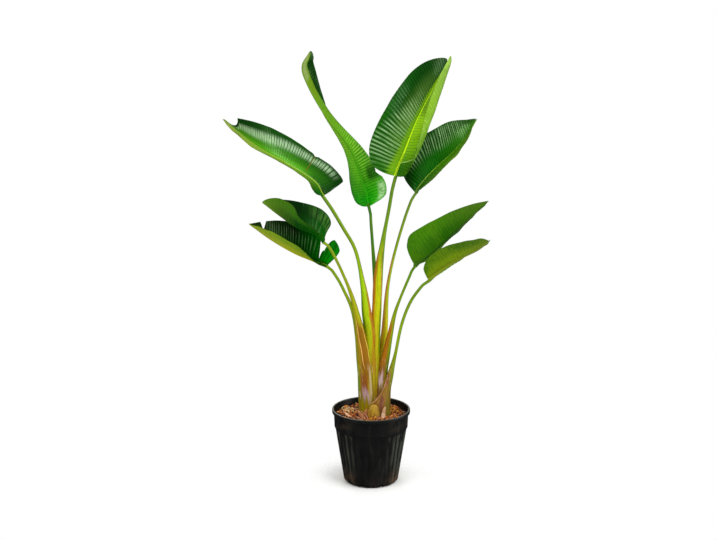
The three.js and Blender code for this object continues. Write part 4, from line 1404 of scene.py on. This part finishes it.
def build_margin(name, leaf, hand, from_share, to_share, low_angle, high_angle):
    share = np.linspace(from_share, to_share, MARGIN_ROWS)
    centre, along, inward, across, reach, depth = stalk_frame(leaf, share)
    f = (share - from_share) / (to_share - from_share)
    angle = np.radians(low_angle + (high_angle - low_angle) * np.sqrt(f)) * hand
    angle = angle + 0.05 * np.sin(11 * f + leaf["root"][0])
    outward = across * np.sin(angle)[:, None] + inward * np.cos(angle)[:, None]
    ridge = centre + (across * (depth * np.sin(angle))[:, None]
                      + inward * (reach * np.cos(angle))[:, None])
    sideways = np.cross(along, outward)
    ends = np.minimum(f / MARGIN_TAPERS[0], (1 - f) / MARGIN_TAPERS[1])
    taper = np.sqrt(np.clip(ends, THINNEST, 1))[:, None]
    turn = full_turn(MARGIN_SIDES)
    rings = (ridge[:, None]
             + outward[:, None] * (taper * np.sin(turn) * MARGIN_RISE)[..., None]
             + sideways[:, None] * (taper * np.cos(turn) * MARGIN_HALF)[..., None])
    walked = (f * walked_to(centre)[-1])[:, None]
    notes = np.stack(np.broadcast_arrays(0.01 * hand, np.cos(turn) * MARGIN_HALF, walked), axis=-1)
    return tube(name, rings, notes)


print("a margin is a bead", round(2 * MARGIN_HALF / MM), "mm wide")

# %% [markdown]
# Two margins to a sheath
#
# At the back the margins are all alike. At the front each has its own length
# and place, read off the photograph: the stalk it lies on, which for the lowest
# left sheath is its neighbour, where it starts and ends along that stalk, the
# angles at the two ends, and three colours.

# %% Lay the margins on the stalks
FRONT_MARGINS = {
    "top_left": ("top_left", 0.3, 0.5, 60, 40, "a86c20 c89030 8c5c1c"),
    "top_right": ("top_right", 0.5, 0.7, 118, 102, "b0600c d08020 94500c"),
    "upper_left": ("upper_left", 0.28, 0.6, 10, 12, "a4580c c87c1c 88440c"),
    "upper_right": ("upper_right", 0.44, 0.68, 0, 20, "c87838 e09850 a86028"),
    "middle_left": ("middle_left", 0.3, 0.52, 20, 50, "c8a020 e4cc40 a88018"),
    "middle_right": ("middle_right", 0.28, 0.5, 20, 5, "a8540c c87420 7c3c14"),
    "lower_left": ("middle_left", 0.29, 0.54, 88, 126, "e89838 fcc068 d08428"),
    "lower_right": ("lower_right", 0.2, 0.34, 70, 60, "c07868 d89888 a05c50"),
}
BACK_MARGIN = (0.14, 0.72, 78, 26)
back_finish = margin_skin("back", "b06a28 d8a050 8c4a26")
for name, leaf in LEAVES.items():
    facing_front = -1 if leaf["root"][0] < FAN_MIDDLE else 1
    carrier, *front, codes = FRONT_MARGINS[name]
    front_finish = margin_skin(name, codes)
    for end, hand, host, lie, finish in (("_front", 1, LEAVES[carrier], front, front_finish),
                                         ("_back", -1, leaf, BACK_MARGIN, back_finish)):
        margin = build_margin("sheath_margin_" + name + end, host, hand * facing_front, *lie)
        margin.data.materials.append(finish)
        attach(margin, "root")
print("sixteen margins, two to a sheath")

# %% [markdown]
# The clasping sheath
#
# The lowest right leaf's sheath does more than clasp its neighbours: it wraps
# round the front of the whole clump, and its pink margin sweeps down to the
# left as far as the mix. This wrap is a grid laid close on the stalks. For
# every place across and up it asks which stalk stands furthest forward there,
# and the answers are smoothed, as a real sheath spans the gaps between stalks.

# %% Wrap the sheath round the clump
WRAP_MARGIN = [(222, -56), (241, -38), (258, -14), (275, 12), (300, 31), (330, 45), (368, 54)]
WRAP_RIGHT = (55, 57)
WRAP_ROWS = 60
WRAP_COLUMNS = 70
WRAP_CLEAR = 1.6 * MM
WRAP_THICKNESS = 0.9 * MM
BEHIND_THE_FRONT = 20 * MM
MARGIN_LIFT = 1.4 * MM
LIFTED_SHARE = 0.06
FOLD_HEIGHT = 0.5 * MM


def front_of_clump(x, height):
    """How far forward the stalks reach at these places, as a y; x and height are grids."""
    front = np.full(x.shape, BEHIND_THE_FRONT)
    for leaf in LEAVES.values():
        centre, _, _, _, reach, depth = stalk_frame(leaf, np.linspace(0, 0.6, 90))
        middle_x, middle_y, half, deep = (np.interp(height, centre[:, 2], values) for values in (
            centre[:, 0], centre[:, 1], reach, depth))
        out = np.clip(1 - ((x - middle_x) / half) ** 2, 0, 1)
        front = np.where(out > 0, np.minimum(front, middle_y - deep * np.sqrt(out)), front)
    return front


def build_wrap():
    rows, edges = zip(*WRAP_MARGIN)
    heights = np.linspace(rows[0], rows[-1], WRAP_ROWS)
    left = np.interp(heights, rows, edges)
    for _ in range(4):
        left[1:-1] = (left[:-2] + 2 * left[1:-1] + left[2:]) / 4
    right = np.linspace(*WRAP_RIGHT, WRAP_ROWS)
    across = np.linspace(0, 1, WRAP_COLUMNS)[None]
    x = (left[:, None] + (right - left)[:, None] * across) * MM
    z = np.broadcast_to(heights[:, None] * MM, x.shape)
    y = front_of_clump(x, z)
    for _ in range(30):
        y[:, 1:-1] = np.minimum(y[:, 1:-1], (y[:, :-2] + y[:, 2:]) / 2)
        y[1:-1] = (y[:-2] + 2 * y[1:-1] + y[2:]) / 4
    lifted = MARGIN_LIFT * np.exp(-across / LIFTED_SHARE) * np.linspace(1, 0.2, WRAP_ROWS)[:, None]
    folds = FOLD_HEIGHT * np.sin(23 * across + heights[:, None] / 20)
    y = y - WRAP_CLEAR - lifted + folds
    wrap = placed_grid("clasping_sheath", np.stack([x, y, z], axis=-1))
    store(wrap, "wrap", np.stack(np.broadcast_arrays(across, z, x), axis=-1))
    thicken(wrap, WRAP_THICKNESS)
    smooth(wrap, 50)
    return wrap


wrap = build_wrap()
print("clasping sheath", len(wrap.data.polygons), "faces")

# %% [markdown]
# The colour of the clasping sheath
#
# The wrap is dry and brown, threaded lengthways, golden in some patches and
# lilac in others. To the right it turns olive, where it is still alive, its
# foot is pale, and its margin is a pink line. Its mesh keeps how far across the
# wrap each point lies, and the coats are held to their places by that.

# %% Paint the clasping sheath
WRAP_THREADS = [(0.3, "703c1c"), (0.5, "9c6434"), (0.7, "bc8c5c")]


def wrap_finish():
    material, tree, shader = new_material("clasping_sheath_skin")
    spot = object_place(tree)
    _, across, height, _ = stored(tree, "wrap")
    threads = noise(tree, stretched(tree, spot, (1, 1, 0.12)), 300.0, 3.0)
    patches = noise(tree, stretched(tree, spot, (1, 1, 0.5)), 55.0, 3.0)
    paint = ramp(tree, threads, WRAP_THREADS)
    paint = coat(tree, paint, "94740c", rise(tree, patches, 0.46, 0.6), 0.7)
    paint = coat(tree, paint, "885854", rise(tree, patches, 0.46, 0.34), rise(tree, across, 0.1, 0.4), 0.6)
    paint = coat(tree, paint, "70680c", rise(tree, across, 0.7, 0.95), 0.8)
    foot = rise(tree, height, 0.262, 0.236)
    paint = coat(tree, paint, "c49050", foot, rise(tree, across, 0.75, 0.3), 0.6)
    paint = coat(tree, paint, "e09c84", rise(tree, across, 0.075, 0.03), 0.9)
    tree.links.new(paint, shader.inputs["Base Color"])
    shader.inputs["Roughness"].default_value = 0.55
    shader.inputs["Specular IOR Level"].default_value = 0.3
    roughen(tree, shader, threads, 0.5, 0.6 * MM)
    return material


wrap.data.materials.append(wrap_finish())
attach(wrap, "root")
print("the wrap's material has", len(wrap.data.materials[0].node_tree.nodes), "nodes")

# %% [markdown]
# The pot
#
# It is a thin moulded grower's pot: fluted from the foot to just under its
# plain collar, with a rolled lip. A disc is extruded ring by ring up the
# outside, over the lip and down the inside, as on a lathe, and the last ring is
# merged in the middle of the floor. The same lathe serves for the mix later.

# %% Turn the pot
def select_boundary():
    bpy.ops.mesh.select_mode(type="EDGE")
    bpy.ops.mesh.select_all(action="DESELECT")
    bpy.ops.mesh.select_non_manifold(extend=False, use_wire=False, use_multi_face=False,
                                     use_non_contiguous=False, use_verts=False)


def ring_extruded(radius, height, old_radius, old_height):
    """Extrudes the selected ring and takes it to its new radius and height."""
    bpy.ops.mesh.extrude_edges_move(
        TRANSFORM_OT_translate={"value": (0, 0, (height - old_height) * MM)})
    grown = radius / old_radius
    bpy.ops.transform.resize(value=(grown, grown, 1), center_override=(0, 0, height * MM))


def turned(name, around, rings):
    """A disc extruded through rings of (radius, height) and closed in the middle of the last."""
    (radius, height), *others = rings
    bpy.ops.object.select_all(action="DESELECT")
    bpy.ops.mesh.primitive_circle_add(vertices=around, radius=radius * MM, fill_type="TRIFAN")
    piece = bpy.context.object
    piece.name = name
    for vertex in piece.data.vertices:
        vertex.co.z = height * MM
    bpy.ops.object.mode_set(mode="EDIT")
    select_boundary()
    for new_radius, new_height in others:
        ring_extruded(new_radius, new_height, radius, height)
        radius, height = new_radius, new_height
    bpy.ops.mesh.extrude_edges_move(TRANSFORM_OT_translate={"value": (0, 0, 0)})
    bpy.ops.mesh.merge(type="CENTER")
    bpy.ops.mesh.select_mode(type="VERT")
    bpy.ops.mesh.select_all(action="SELECT")
    bpy.ops.mesh.normals_make_consistent(inside=False)
    bpy.ops.object.mode_set(mode="OBJECT")
    return piece


FOOT_RADIUS, FOOT_HEIGHT = 90, 10
WALL_RADIUS, WALL_HEIGHT = 116.6, 180


def wall_radius(height):
    """The fluted wall widens evenly from the foot to the ledge under the collar."""
    widening = (WALL_RADIUS - FOOT_RADIUS) * (height - FOOT_HEIGHT)
    return FOOT_RADIUS + widening / (WALL_HEIGHT - FOOT_HEIGHT)


POT_AROUND = 272
FLUTED_HEIGHTS = [12, 18, 30, 60, 90, 120, 150, 170, 175, 178]
UNDERSIDE = [(45, 0), (47, 3.5), (61, 3.5), (63, 0.4), (64, 0), (79, 0), (80.5, 0), (84, 0.8),
             (87.07, 2.93), (89.2, 6)]
WALL = [(FOOT_RADIUS, FOOT_HEIGHT), *[(wall_radius(height), height) for height in FLUTED_HEIGHTS],
        (WALL_RADIUS, WALL_HEIGHT)]
COLLAR = [(117.2, 181.2), (119, 182.6), (119.4, 184), (119.5, 186), (120.4, 206), (121.3, 226),
          (121.5, 228)]
LIP = [(123, 229), (125.6, 229.8), (126.7, 230.6), (127, 232), (127, 236), (127, 239.6),
       (126.5, 241.2), (125.2, 242), (122.8, 242), (121.6, 241.4), (121, 240)]
INSIDE = [(119.2, 229), (118.8, 228), (117.2, 200), (116.8, 184), (114, 180), (87.4, 12), (82, 6)]
pot = turned("nursery_pot_dressed", POT_AROUND, UNDERSIDE + WALL + COLLAR + LIP + INSIDE)
print("pot", [round(size, 4) for size in pot.dimensions], "m")

# %% [markdown]
# Flutes and drain holes
#
# The points of the wall's rings are drawn in by a wave round the pot, sharp in
# its grooves and round on its ribs, which fades out above the foot and under
# the ledge. The drain holes go through the rounded bottom corner. Eight
# cylinders are joined into one cutter, and a Boolean takes it away.

# %% Flute and drain the pot
FLUTES = 34
FLUTE_DEPTH = 1.5 * MM
WALL_SKIN = 1.4
FLUTE_ROUNDNESS = 0.6
FLUTES_START = (FOOT_HEIGHT, FOOT_HEIGHT + 12)
FLUTES_END = (WALL_HEIGHT - 10, WALL_HEIGHT - 1)
DRAINS = 8
DRAIN_RADIUS = 8
DRAIN_CIRCLE = 84
DRAIN_TOP = 10
CUTTER_LENGTH = 40


def flute(pot):
    points = mesh_points(pot)
    radius = np.hypot(points[:, 0], points[:, 1])
    height = points[:, 2] / MM
    turn = np.arctan2(points[:, 1], points[:, 0])
    outside = radius > (wall_radius(height) - WALL_SKIN) * MM
    on_wall = (height > FOOT_HEIGHT + 1) & (height < WALL_HEIGHT - 1) & outside
    swing = soft_step(height, *FLUTES_START) * (1 - soft_step(height, *FLUTES_END))
    groove = np.abs(np.sin(turn * FLUTES / 2)) ** FLUTE_ROUNDNESS
    drawn = np.where(on_wall, FLUTE_DEPTH * swing * (1 - groove), 0)
    points[:, :2] *= ((radius - drawn) / np.maximum(radius, 1e-6))[:, None]
    move_points(pot, points)


def cut_drains(pot):
    cutters = []
    for angle in full_turn(DRAINS, 0.5):
        middle = (DRAIN_CIRCLE * MM * math.cos(angle), DRAIN_CIRCLE * MM * math.sin(angle),
                  (DRAIN_TOP - CUTTER_LENGTH / 2) * MM)
        bpy.ops.mesh.primitive_cylinder_add(vertices=24, radius=DRAIN_RADIUS * MM,
                                            depth=CUTTER_LENGTH * MM, location=middle)
        cutters.append(bpy.context.object)
    select_only(*cutters)
    bpy.ops.object.join()
    select_only(pot)
    cut = pot.modifiers.new("drains", "BOOLEAN")
    cut.object = cutters[0]
    cut.solver = "EXACT"
    bpy.ops.object.modifier_apply(modifier=cut.name)
    bpy.data.objects.remove(cutters[0])


flute(pot)
cut_drains(pot)
smooth(pot, 38)
print("pot with", FLUTES, "flutes and", DRAINS, "drains:", len(pot.data.polygons), "faces")

# %% [markdown]
# Black plastic with dust
#
# The plastic is nearly black and a little glossy. It is used: grey dust lies on
# the lip, brown dust has gathered low on the wall and on the collar, and at the
# sides the flutes carry painted reflections, grey-green streaks that stand in
# for the lamps mirrored in them. Height and the place round the pot pick where
# dust and painted reflections may lie, and noise picks where they do. Inside,
# above the mix, the wall is in shade and looks quite black, so its faces get a
# duller copy.

# %% Pot material
# Grey-green painted reflections on the flutes at the sides.
FLUTE_SHEEN = "4a4e40"
FAINT_FILM = "44463a"
LOW_DUST = "6c4c30"
COLLAR_DUST = "4a3620"
LIP_BLACK = "0e1618"
LIP_DUST = "807a68"
SHADED_HEIGHTS = (0.18, 0.24)


def pot_finish(name, gloss):
    material, tree, shader = new_material(name)
    spot = object_place(tree)
    x, y, height = add(tree, "ShaderNodeSeparateXYZ", {0: spot}).outputs
    smudge = noise(tree, spot, 26.0, 4.0)
    streak = noise(tree, stretched(tree, spot, (1, 1, 0.12)), 60.0, 3.0)
    speck = noise(tree, spot, 330.0, 2.0)
    aside = rise(tree, calc(tree, "ABSOLUTE", x), 0.035, 0.085)
    flutes = calc(tree, "SINE", times(tree, calc(tree, "ARCTAN2", y, x), float(FLUTES)))
    paint = ramp(tree, smudge, [(0.3, "0b0c0c"), (0.7, "131412")])
    # Painted reflections: grey-green streaks on the flute ribs at the sides, below the collar.
    flute_sheen = times(tree, rise(tree, streak, 0.36, 0.56), rise(tree, flutes, -0.9, 0.5))
    paint = coat(tree, paint, FLUTE_SHEEN, flute_sheen, aside, rise(tree, height, 0.183, 0.172), 0.6)
    paint = coat(tree, paint, FAINT_FILM, rise(tree, streak, 0.5, 0.75), 0.12)
    paint = coat(tree, paint, LOW_DUST, rise(tree, height, 0.07, 0.0), rise(tree, smudge, 0.42, 0.6),
                 calc(tree, "ADD", 0.06, times(tree, aside, 0.5)))
    paint = coat(tree, paint, COLLAR_DUST, rise(tree, height, 0.186, 0.205),
                 rise(tree, smudge, 0.4, 0.6), aside, 0.28)
    paint = coat(tree, paint, LIP_BLACK, rise(tree, height, 0.2275, 0.2295), 0.5)
    paint = coat(tree, paint, LIP_DUST, rise(tree, height, 0.2408, 0.2418),
                 rise(tree, speck, 0.3, 0.55), 0.6)
    tree.links.new(paint, shader.inputs["Base Color"])
    tree.links.new(calc(tree, "ADD", 0.26, times(tree, streak, 0.3)), shader.inputs["Roughness"])
    shader.inputs["Specular IOR Level"].default_value = gloss
    roughen(tree, shader, speck, 0.12, 0.3 * MM)
    return material


pot.data.materials.append(pot_finish("black_pot_plastic", 0.4))
pot.data.materials.append(pot_finish("black_pot_inside", 0.06))
for face in pot.data.polygons:
    inward = face.center.x * face.normal.x + face.center.y * face.normal.y < 0
    if inward and SHADED_HEIGHTS[0] < face.center.z < SHADED_HEIGHTS[1]:
        face.material_index = 1
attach(pot, "root")
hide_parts("nursery_pot")
print("faces in the shade:", sum(face.material_index for face in pot.data.polygons))

# %% [markdown]
# The potting mix
#
# Bark mix has no smooth surface: it is a heap of chips. First a body fills the
# pot up to a lumpy top, which shows between the loose chips. Slow and quick
# waves make the lumps, the mix is heaped a little round the stalks, and every
# point of the top is knocked up or down by a draw of its own.

# %% Fill the pot
MIX_TOP = 222
MIX_AROUND = 120
MIX_WALL = [(82, 6.4), (87, 12.3), (113.6, 180.3), (116.4, 184.3), (117, 205), (117.4, 218)]
TOP_RADII = [114, 110, 106, 101, 96, 91, 86, 81, 76, 71, 66, 61, 56, 50, 43, 36, 28, 20, 10]
LUMP = 1.8
SMALL_LUMP = 1.2
HEAP = 5
HEAP_MIDDLE = 10
HEAP_RADIUS = 90


def mix_height(x, y):
    """The lumpy top's height in millimetres."""
    waves = math.sin(x / 9 + math.sin(y / 13)) + math.sin(y / 8 + math.sin(x / 11))
    fine = math.sin(x / 3.1 + y / 4.7) * math.sin(y / 2.9 - x / 5.3)
    heap = HEAP * max(0, 1 - math.hypot(x - HEAP_MIDDLE, y) / HEAP_RADIUS)
    return MIX_TOP + LUMP * waves + SMALL_LUMP * fine + heap


def build_mix():
    rings = MIX_WALL + [(radius, MIX_TOP) for radius in TOP_RADII]
    mix = turned("potting_mix_dressed", MIX_AROUND, rings)
    draw = random.Random(7)
    for vertex in mix.data.vertices:
        if vertex.co.z > (MIX_TOP - 1) * MM:
            rough = draw.uniform(-1.0, 1.0)
            vertex.co.z = (mix_height(vertex.co.x / MM, vertex.co.y / MM) + rough) * MM
    return mix


mix = build_mix()
print("mix", len(mix.data.polygons), "faces")

# %% [markdown]
# The colour of bark
#
# Every chip has its own tone, from nearly black to pale orange, kept with its
# points. Grain and lumps of noise shift the tone within the chip. The body
# gets one dark tone, so that it reads as the shade between the chips.

# %% Bark material
BARK_STOPS = [(0.0, "1c0e04"), (0.25, "642e08"), (0.5, "b05c14"), (0.75, "e08c34"), (1.0, "fcc47c")]
PALE_STOPS = [(0.0, "b88848"), (0.5, "e8c88c"), (1.0, "fcf0d0")]
ORANGE_STOPS = [(0.0, "5c2c08"), (0.4, "b87018"), (0.75, "e0a030"), (1.0, "f8d088")]
BODY_TONE = 0.15


def bark_finish(name, stops):
    material, tree, shader = new_material(name)
    spot = object_place(tree)
    _, tone, _, _ = stored(tree, "chip")
    grain = noise(tree, spot, 260.0, 4.0)
    lumps = noise(tree, spot, 70.0, 3.0)
    place = calc(tree, "ADD", times(tree, tone, 0.75),
                 times(tree, calc(tree, "SUBTRACT", grain, 0.5), 0.7))
    place = calc(tree, "ADD", place, times(tree, calc(tree, "SUBTRACT", lumps, 0.5), 0.4))
    tree.links.new(ramp(tree, place, stops), shader.inputs["Base Color"])
    shader.inputs["Roughness"].default_value = 0.85
    roughen(tree, shader, calc(tree, "ADD", grain, lumps), 0.7, 1.2 * MM)
    return material


store(mix, "chip", np.tile([BODY_TONE, 0.0, 0.0], (len(mix.data.vertices), 1)))
mix.data.materials.append(bark_finish("bark_mix", BARK_STOPS))
smooth(mix, 60)
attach(mix, "root")
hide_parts("potting_mix")
print("bark has", len(BARK_STOPS), "stops from dark to pale")

# %% [markdown]
# One chip, many chips
#
# A chip is modelled once, from a cube that is subdivided, flattened and knocked
# out of shape. Each copy gets its own mesh, turn, size and tone by a seeded
# draw, and all the copies of a kind are joined into one piece. The commonest
# kind has over a thousand copies, so a chip has only a few dozen faces.

# %% Scatter helpers
def one_chip(name, seed, size):
    """A flake of bark: a cube, subdivided once, flattened and knocked out of shape."""
    draw = random.Random(seed)
    bpy.ops.object.select_all(action="DESELECT")
    bpy.ops.mesh.primitive_cube_add(size=1)
    chip = bpy.context.object
    chip.name = name
    bpy.ops.object.mode_set(mode="EDIT")
    bpy.ops.mesh.select_all(action="SELECT")
    bpy.ops.mesh.subdivide(number_cuts=1, smoothness=0.35)
    bpy.ops.transform.resize(value=size, center_override=(0, 0, 0))
    bpy.ops.object.mode_set(mode="OBJECT")
    for vertex in chip.data.vertices:
        for axis in range(3):
            vertex.co[axis] += draw.uniform(-0.14, 0.14) * size[axis]
    return chip


def scatter(name, shapes, count, seed, place_of, sizes, tones, lie):
    """Copies of a few shapes, each turned and sized by its own draw, joined into one piece."""
    draw = random.Random(seed)
    low_tone, high_tone, tone_power = tones
    copies = []
    for index in range(count):
        shape = shapes[index % len(shapes)]
        copy = shape.copy()
        copy.data = shape.data.copy()
        bpy.context.collection.objects.link(copy)
        place = Matrix.Translation(place_of(draw))
        turned_about = (Matrix.Rotation(draw.uniform(0, 2 * math.pi), 4, "Z")
                        @ Matrix.Rotation(draw.gauss(0, lie), 4, "X")
                        @ Matrix.Rotation(draw.gauss(0, lie), 4, "Y"))
        copy.data.transform(place @ turned_about @ Matrix.Scale(draw.uniform(*sizes), 4))
        tone = draw.uniform(low_tone, high_tone) ** tone_power
        store(copy, "chip", np.tile([tone, draw.random(), 0], (len(copy.data.vertices), 1)))
        copies.append(copy)
    select_only(*copies)
    bpy.ops.object.join()
    copies[0].name = name
    return copies[0]


CHIP_SIZES = [(11 * MM, 7 * MM, 3.6 * MM), (8 * MM, 7 * MM, 4 * MM), (15 * MM, 5 * MM, 3 * MM)]
chip_shapes = [one_chip("chip_%d" % k, k, size) for k, size in enumerate(CHIP_SIZES)]
print("chips of", [len(shape.data.polygons) for shape in chip_shapes], "faces")

# %% [markdown]
# Chips, bits and fibres on the mix
#
# Thirteen hundred chips lie all over the mix, with pale bits among them. Three
# small heaps follow the photograph: pale bits at the left behind the stalks,
# orange fibres at the right, and chips round the stub. Each heap is densest in
# its middle. A row holds a name, the shapes, the number of copies, the seed of
# the draw, the places, the sizes, the range and power of the tones, how far the
# copies tilt, and the finish.

# %% Scatter chips on the mix
POT_INSIDE = 110


def on_the_mix(inner, outer):
    def place(draw):
        turn = draw.uniform(0, 2 * math.pi)
        reach = math.sqrt(draw.uniform(inner ** 2, outer ** 2))
        x, y = reach * math.cos(turn), reach * math.sin(turn)
        return x * MM, y * MM, (mix_height(x, y) + draw.uniform(-0.8, 1.6)) * MM
    return place


def heaped(centre, spread, height):
    """Places in a small heap: its centre and spread in millimetres, and its height."""
    def place(draw):
        a, b = draw.gauss(0, 0.45), draw.gauss(0, 0.45)
        x, y = centre[0] + spread[0] * a, centre[1] + spread[1] * b
        shrink = min(1, POT_INSIDE / math.hypot(x, y))
        x, y = x * shrink, y * shrink
        up = height * math.exp(-2 * (a * a + b * b)) * draw.random()
        return x * MM, y * MM, (mix_height(x, y) + up) * MM
    return place


bark = bark_finish("bark_chip_skin", BARK_STOPS)
pale = bark_finish("pale_bit_skin", PALE_STOPS)
orange = bark_finish("orange_fibre_skin", ORANGE_STOPS)
LOOSE_BITS = [
    ("bark_chips", chip_shapes, 1300, 21, on_the_mix(26, 109), (0.35, 0.85), (0, 1, 0.9), 0.5, bark),
    ("pale_bits", chip_shapes[1:2], 170, 33, on_the_mix(40, 112), (0.25, 0.5), (0.2, 1, 1), 0.6, pale),
    ("pale_bits_rear", chip_shapes[1:], 110, 34, heaped((-72, 34), (34, 38), 7),
     (0.3, 0.6), (0.35, 1, 1), 0.7, pale),
    ("fibres_right", chip_shapes[2:], 130, 35, heaped((74, 26), (20, 26), 13),
     (0.3, 0.7), (0, 1, 1), 0.8, orange),
    ("chips_at_stub", chip_shapes, 90, 36, heaped((10, -66), (34, 8), 13),
     (0.3, 0.65), (0, 1, 0.8), 0.6, orange),
]
for name, shapes, count, seed, place_of, sizes, tones, lie, finish in LOOSE_BITS:
    piece = scatter(name, shapes, count, seed, place_of, sizes, tones, lie)
    piece.data.materials.append(finish)
    smooth(piece, 30)
    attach(piece, "root")
    print(name, len(piece.data.polygons), "faces")
for shape in chip_shapes:
    bpy.data.objects.remove(shape)

# %% [markdown]
# Dry scales and scraps
#
# Round the plant's base stand the papery remains of older leaves, pinkish
# brown and curled, and a few scraps lie on the mix. Each is a small grid that
# stands in the mix, leans outwards, is bent round its own middle line and torn
# along its tip, and gets a thin wall.

# %% Build a dry scale
PAPER_ROWS = 26
PAPER_COLUMNS = 21
PAPER_THICKNESS = 0.9 * MM
PAPER_NARROWS = 0.75
PAPER_CREASE = 0.6


def dry_finish(name, codes, light_patch):
    material, tree, shader = new_material("dry_papery_" + name)
    spot = object_place(tree)
    fibres = noise(tree, stretched(tree, spot, (1, 1, 0.12)), 420.0, 3.0)
    patches = noise(tree, spot, 60.0, 3.0)
    paint = ramp(tree, fibres, list(zip((0.25, 0.5, 0.75), codes.split())))
    paint = coat(tree, paint, light_patch, rise(tree, patches, 0.45, 0.65), 0.7)
    tree.links.new(paint, shader.inputs["Base Color"])
    shader.inputs["Roughness"].default_value = 0.8
    roughen(tree, shader, fibres, 0.5, 0.6 * MM)
    return material


def build_scale(name, foot, lean, height, half, bend, sunk, seed):
    """A bent sheet that stands in the mix and leans outwards, in millimetres and degrees."""
    draw = random.Random(seed)
    torn = np.array([draw.uniform(-0.1, 0.06) for _ in range(PAPER_COLUMNS)])
    t = np.linspace(0, 1, PAPER_ROWS)[:, None]
    share = np.linspace(-1, 1, PAPER_COLUMNS)[None]
    outward = np.array([*lean, 0.0]) / math.hypot(*lean)
    across = np.array([-outward[1], outward[0], 0.0])
    up = (height + sunk) * np.minimum(1, t + torn * t ** 3) - sunk
    bow = np.maximum(0, up / height) ** 2
    spread = half * (1 - PAPER_NARROWS * t ** 2)
    angle = math.radians(bend) * share
    crease = PAPER_CREASE * np.sin(5 * share + 7 * t + seed)
    out = bow * math.hypot(*lean) - spread * (1 - np.cos(angle)) + crease
    aside = spread * np.sin(angle) / math.sin(math.radians(bend))
    places = (np.array([*foot, MIX_TOP]) + np.array([0, 0, 1]) * up[..., None]
              + outward * out[..., None] + across * aside[..., None])
    scale = placed_grid(name, places * MM)
    thicken(scale, PAPER_THICKNESS)
    smooth(scale, 50)
    return scale


tan_paper = dry_finish("tan", "a86030 e0a068 fcd8a8", "ecb8a0")
pink_paper = dry_finish("pink", "a05c44 d09074 f0c4a4", "dc9c98")
pale_paper = dry_finish("pale", "bc8050 f0bc88 fce0bc", "fce0c8")
print("three papers: tan, pink and pale")

# %% [markdown]
# Three scales and six scraps
#
# Each row holds the foot's place on the mix, how far the tip leans out in x and
# y, the height, the half width and how far the sheet is bent. The three scales
# take the places of the model's own, so they have names too. The scraps are
# only here.

# %% Stand the scales in the mix
SCALE_SUNK = 12
SCRAP_SUNK = 3
SCALES = [
    ("dry_scale_left", (-33, -46), (-26, -16), 40, 23, 40, tan_paper),
    ("dry_scale_middle", (-17, -50), (-16, -7), 29, 12, 45, pink_paper),
    ("dry_scale_right", (40, -46), (5, -8), 42, 9, 55, pale_paper),
]
SCRAPS = [
    ((-60, -54), (-22, -8), 18, 14, 55), ((-38, -68), (-12, -14), 18, 12, 55),
    ((-10, -76), (6, -12), 10, 9, 70), ((22, -68), (8, -10), 12, 8, 60),
    ((58, -52), (10, -4), 12, 7, 65), ((-74, -34), (-14, 2), 16, 9, 60),
]
for seed, (name, foot, lean, height, half, bend, paper) in enumerate(SCALES):
    scale = build_scale(name + "_dressed", foot, lean, height, half, bend, SCALE_SUNK, seed)
    scale.data.materials.append(paper)
    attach(scale, "root")
    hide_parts(name)
for seed, (foot, lean, height, half, bend) in enumerate(SCRAPS, start=10):
    scrap = build_scale("dry_scrap_%d" % seed, foot, lean, height, half, bend, SCRAP_SUNK, seed)
    scrap.data.materials.append(tan_paper if seed % 2 == 0 else pale_paper)
    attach(scrap, "root")
print(len(SCALES), "scales and", len(SCRAPS), "scraps")

# %% [markdown]
# The old leaf stub
#
# A rounded golden-brown knob at the front is what is left of a cut leaf: the
# fibrous base of its stalk. It is a grid rolled round an upright line and drawn
# together at the top, with ridges for its fibres.

# %% Build the stub
STUB_MIDDLE = (8, -40)
STUB_HALF_WIDTH = 22
STUB_HALF_DEPTH = 14.5
STUB_HEIGHT = 46
STUB_SUNK = 14
STUB_LEAN = 5
STUB_SIDES = 40
STUB_LEVELS = 30


def stub_finish():
    material, tree, shader = new_material("fibrous_stub")
    fibre, _, _, _ = stored(tree, "fibre")
    threads = noise(tree, stretched(tree, fibre, (1, 1, 0.08)), 330.0, 3.0)
    patches = noise(tree, object_place(tree), 50.0, 3.0)
    paint = ramp(tree, threads, [(0.3, "7c5008"), (0.5, "a8800c"), (0.72, "ccac28")])
    paint = coat(tree, paint, "8a5048", rise(tree, patches, 0.55, 0.7), 0.6)
    tree.links.new(paint, shader.inputs["Base Color"])
    shader.inputs["Roughness"].default_value = 0.65
    roughen(tree, shader, threads, 0.6, 0.8 * MM)
    return material


def build_stub():
    turn = full_turn(STUB_SIDES)
    level = np.sin(np.linspace(0, math.pi / 2, STUB_LEVELS))[:-1, None]
    size = np.sqrt(1 - level ** 2)
    ridges = 1 + 0.02 * np.sin(13 * turn) * size + 0.015 * np.sin(5 * turn + 6 * level)
    x = STUB_MIDDLE[0] + STUB_HALF_WIDTH * size ** 0.7 * np.cos(turn) * ridges
    y = STUB_MIDDLE[1] + STUB_HALF_DEPTH * size * np.sin(turn) * ridges - STUB_LEAN * level
    z = MIX_TOP - STUB_SUNK + (STUB_HEIGHT + STUB_SUNK) * level
    rings = np.stack(np.broadcast_arrays(x, y, z), axis=-1) * MM
    notes = np.stack(np.broadcast_arrays(FIBRE_RADIUS * np.cos(turn), FIBRE_RADIUS * np.sin(turn),
                                         z * MM), axis=-1)
    return tube("old_leaf_stub_dressed", rings, notes)


stub = build_stub()
stub.data.materials.append(stub_finish())
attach(stub, "root")
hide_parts("old_leaf_stub")
print("stub", len(stub.data.polygons), "faces")

# %% The sizes of the model and the dressed plant
dressed_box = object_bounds()
sizes = {"cad": [[float(v) for v in corner] for corner in cad_box],
         "visual": [[float(v) for v in corner] for corner in dressed_box]}
print("dressed box", [[round(float(v), 3) for v in corner] for corner in dressed_box])
